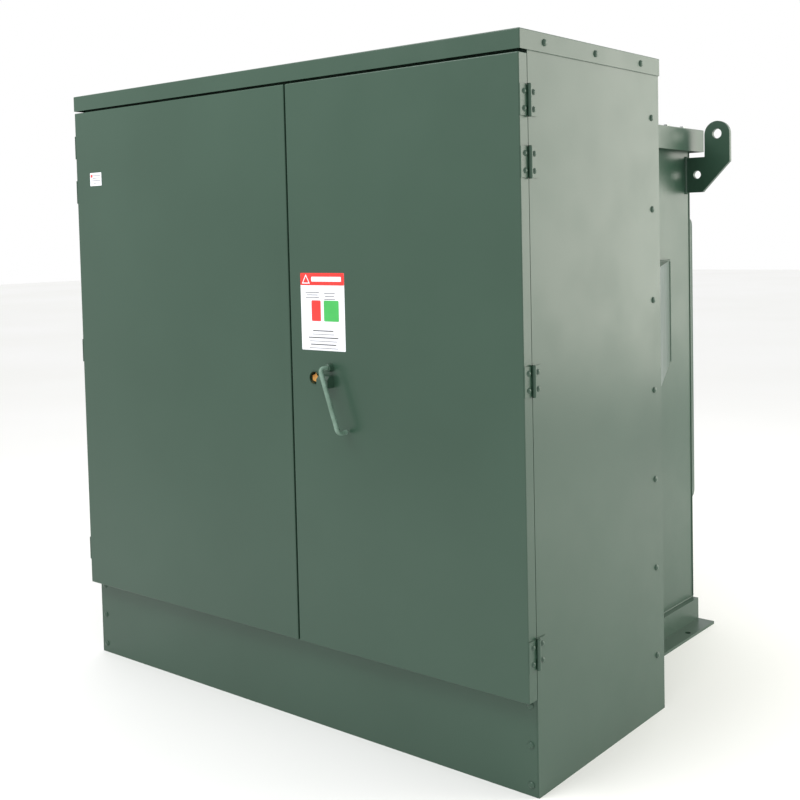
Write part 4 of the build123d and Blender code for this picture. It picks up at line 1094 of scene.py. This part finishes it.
def make_bar_rows_tree():
    """Rows of bars of uneven length, that stand for lines of print."""
    tree = start_tree("print_rows")
    sizes = {
        "width": socket(tree, "Width", 0.11),
        "height": socket(tree, "Height", 0.05),
        "columns": socket(tree, "Columns", 3, "NodeSocketInt"),
        "rows": socket(tree, "Rows", 8, "NodeSocketInt"),
        "bar": socket(tree, "Bar height", 0.0018),
    }
    inlet = add(tree, "NodeGroupInput").outputs
    grid = add(
        tree, "GeometryNodeMeshGrid",
        links={"Size X": inlet["Width"], "Size Y": inlet["Height"], "Vertices X": inlet["Columns"],
               "Vertices Y": inlet["Rows"]},
    )
    longest, ink_depth = 0.028, 0.0002
    size = add(tree, "ShaderNodeCombineXYZ", {"X": longest, "Z": ink_depth}, {"Y": inlet["Bar height"]})
    line = add(tree, "GeometryNodeMeshCube", links={"Size": size.outputs[0]})
    uneven = add(
        tree, "FunctionNodeRandomValue",
        {"data_type": "FLOAT_VECTOR", 0: (0.45, 1.0, 1.0), 1: (1.0, 1.0, 1.0)},
    )
    uneven.inputs["Seed"].default_value = 4
    copies = add(
        tree, "GeometryNodeInstanceOnPoints",
        links={"Points": grid.outputs["Mesh"], "Instance": line.outputs["Mesh"],
               "Scale": uneven.outputs[0]},
    )
    end_tree(tree, copies.outputs["Instances"], dial_ink)
    return tree, sizes


plate_low, plate_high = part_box("nameplate")
plate_centre = (plate_low + plate_high) / 2
rows_tree, rows_sizes = make_bar_rows_tree()
print_rows = grow(
    "nameplate_print", bpy.data.meshes.new("print_start"), rows_tree,
    {rows_sizes["width"]: 0.068, rows_sizes["height"]: 0.046},
)
stand_up(print_rows, Vector((plate_centre.x, plate_low.y - 0.0001, plate_centre.z)))
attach(print_rows, "cabinet")
corner = 0.006
plate_rivets = [
    ((x, plate_low.y, z), (0, -1, 0))
    for x in (plate_low.x + corner, plate_high.x - corner)
    for z in (plate_low.z + corner, plate_high.z - corner)
]
rivets = set_rivets("nameplate_rivets", plate_rivets, 0.0025, "cabinet")


# ---- Core, windings and clamps, inside the oil ----
# The core is a stack of thin oiled silicon steel sheets, cut and interleaved at the corners. The
# windings are wrapped in kraft paper that the oil has darkened, and steel channels clamp the yokes.
def make_banded(name, low, high, axis, pitch, roughness, settings):
    """A surface of fine even bands along one axis, as in stacked sheets or wound paper."""
    material, tree, place = start_material(name)
    # The wave texture draws one band in about 0.31 m at a scale of 1.
    full_band = 0.31
    bands = add(
        tree, "ShaderNodeTexWave",
        {"wave_type": "BANDS", "bands_direction": axis, "Scale": full_band / pitch, "Distortion": 0.4},
        {"Vector": place},
    )
    ramp = add(tree, "ShaderNodeValToRGB", links={"Fac": bands.outputs["Fac"]})
    for stop, colour in zip(ramp.color_ramp.elements, (low, high)):
        stop.color = linear(colour)
    bump = add(
        tree, "ShaderNodeBump", {"Strength": 0.5, "Distance": 0.0005}, {"Height": bands.outputs["Fac"]}
    )
    finish(
        tree, settings,
        {
            "Base Color": ramp.outputs["Color"],
            "Roughness": mottle(tree, place, 0.05, grey(roughness[0]), grey(roughness[1])),
            "Normal": bump.outputs["Normal"],
        },
    )
    return material


# Silicon steel: sheets 0.27 mm thick, drawn at 3 mm, dark and glossy with oil.
dress(
    make_banded("oiled_silicon_steel", "#3E4246", "#5D6266", "Y", 0.003, (0.25, 0.4), {"Metallic": 1.0}),
    "core_laminations",
)
# Kraft paper: brown overlapping turns about 12 mm wide, translucent with oil.
dress(
    make_banded("oiled_kraft_paper", "#7C5A34", "#A57F4E", "Z", 0.012, (0.35, 0.5), {"IOR": 1.47}),
    "lv_windings", "hv_windings",
)
# Mill-finish steel: blue-grey scale, dull and cloudy.
mill_steel = make_plain("mill_finish_steel", "#4B4E52", "#62666A", 0.08, (0.4, 0.6), {"Metallic": 1.0})
dress(mill_steel, "core_clamps")


# ---- Floor ----
# A plain pale sheet for the transformer to stand on, matt and without joints.
# It is wide enough that no edge of it shows.
def make_floor():
    """A smooth matt floor in one pale grey."""
    material, tree, place = start_material("pale_matt_floor")
    finish(
        tree, {"Roughness": 0.7},
        {"Base Color": mottle(tree, place, 3.0, linear("#F3F3F1"), linear("#F6F6F5"))},
    )
    reach = 30.0
    mesh = bpy.data.meshes.new("studio_floor")
    corners = [(-reach, -reach, 0), (reach, -reach, 0), (reach, reach, 0), (-reach, reach, 0)]
    mesh.from_pydata(corners, [], [(0, 1, 2, 3)])
    mesh.materials.append(material)
    return link_in(mesh)


make_floor()


# ---- Light ----
# An even white surround, one long soft lamp above and in front of the doors, and a broad warm
# card behind on the right, which shines in the gloss paint of the side sheet.
def make_lamp(name, place, aim, width, height, power, colour="#FFFFFF"):
    """A soft rectangular lamp at one place, facing another."""
    data = bpy.data.lights.new(name, "AREA")
    data.shape = "RECTANGLE"
    data.size = width
    data.size_y = height
    data.energy = power
    data.color = linear(colour)[:3]
    lamp = link_in(data)
    facing = (Vector(aim) - Vector(place)).to_track_quat("-Z", "Y")
    lamp.matrix_world = Matrix.Translation(place) @ facing.to_matrix().to_4x4()


surround = bpy.data.worlds.new("white_surround")
surround.use_nodes = True
surround.node_tree.nodes["Background"].inputs["Color"].default_value = linear("#FFFFFF")
surround.node_tree.nodes["Background"].inputs["Strength"].default_value = 1.0
bpy.context.scene.world = surround
bpy.context.scene.view_settings.view_transform = "Standard"

whole_low, whole_high = (Vector(corner) for corner in cad_box)
middle = (whole_low + whole_high) / 2
make_lamp("front_lamp", (-0.6, -2.5, 3.4), (0.0, whole_low.y, 1.4), 2.4, 1.0, 72)
make_lamp("side_card", (2.66, 1.98, 1.6), (whole_high.x, 0.0, middle.z), 3.2, 2.4, 80, "#FFFCF0")


# ---- Camera ----
# It stands a little right of the front right corner, at about three quarters of the cabinet's
# height, and looks slightly down with a normal lens.
def place_camera(place, yaw, pitch, roll, lens, rise):
    """A camera at one place, turned by three angles in degrees, its view shifted upright by a share."""
    yaw, pitch, roll = radians(yaw), radians(pitch), radians(roll)
    ahead = Vector((-sin(yaw) * cos(pitch), cos(yaw) * cos(pitch), -sin(pitch)))
    level = Vector((cos(yaw), sin(yaw), 0))
    upright = level.cross(ahead)
    right = level * cos(roll) + upright * sin(roll)
    above = upright * cos(roll) - level * sin(roll)
    data = bpy.data.cameras.new("camera")
    data.sensor_width = 36.0
    data.lens = lens
    data.shift_y = rise
    made = link_in(data)
    turn = Matrix((right, above, -ahead)).transposed().to_4x4()
    made.matrix_world = Matrix.Translation(place) @ turn
    bpy.context.scene.camera = made


place_camera((2.0728, -2.69145, 1.2110), 39.23, 3.05, -1.31, 51.84, -0.1279)
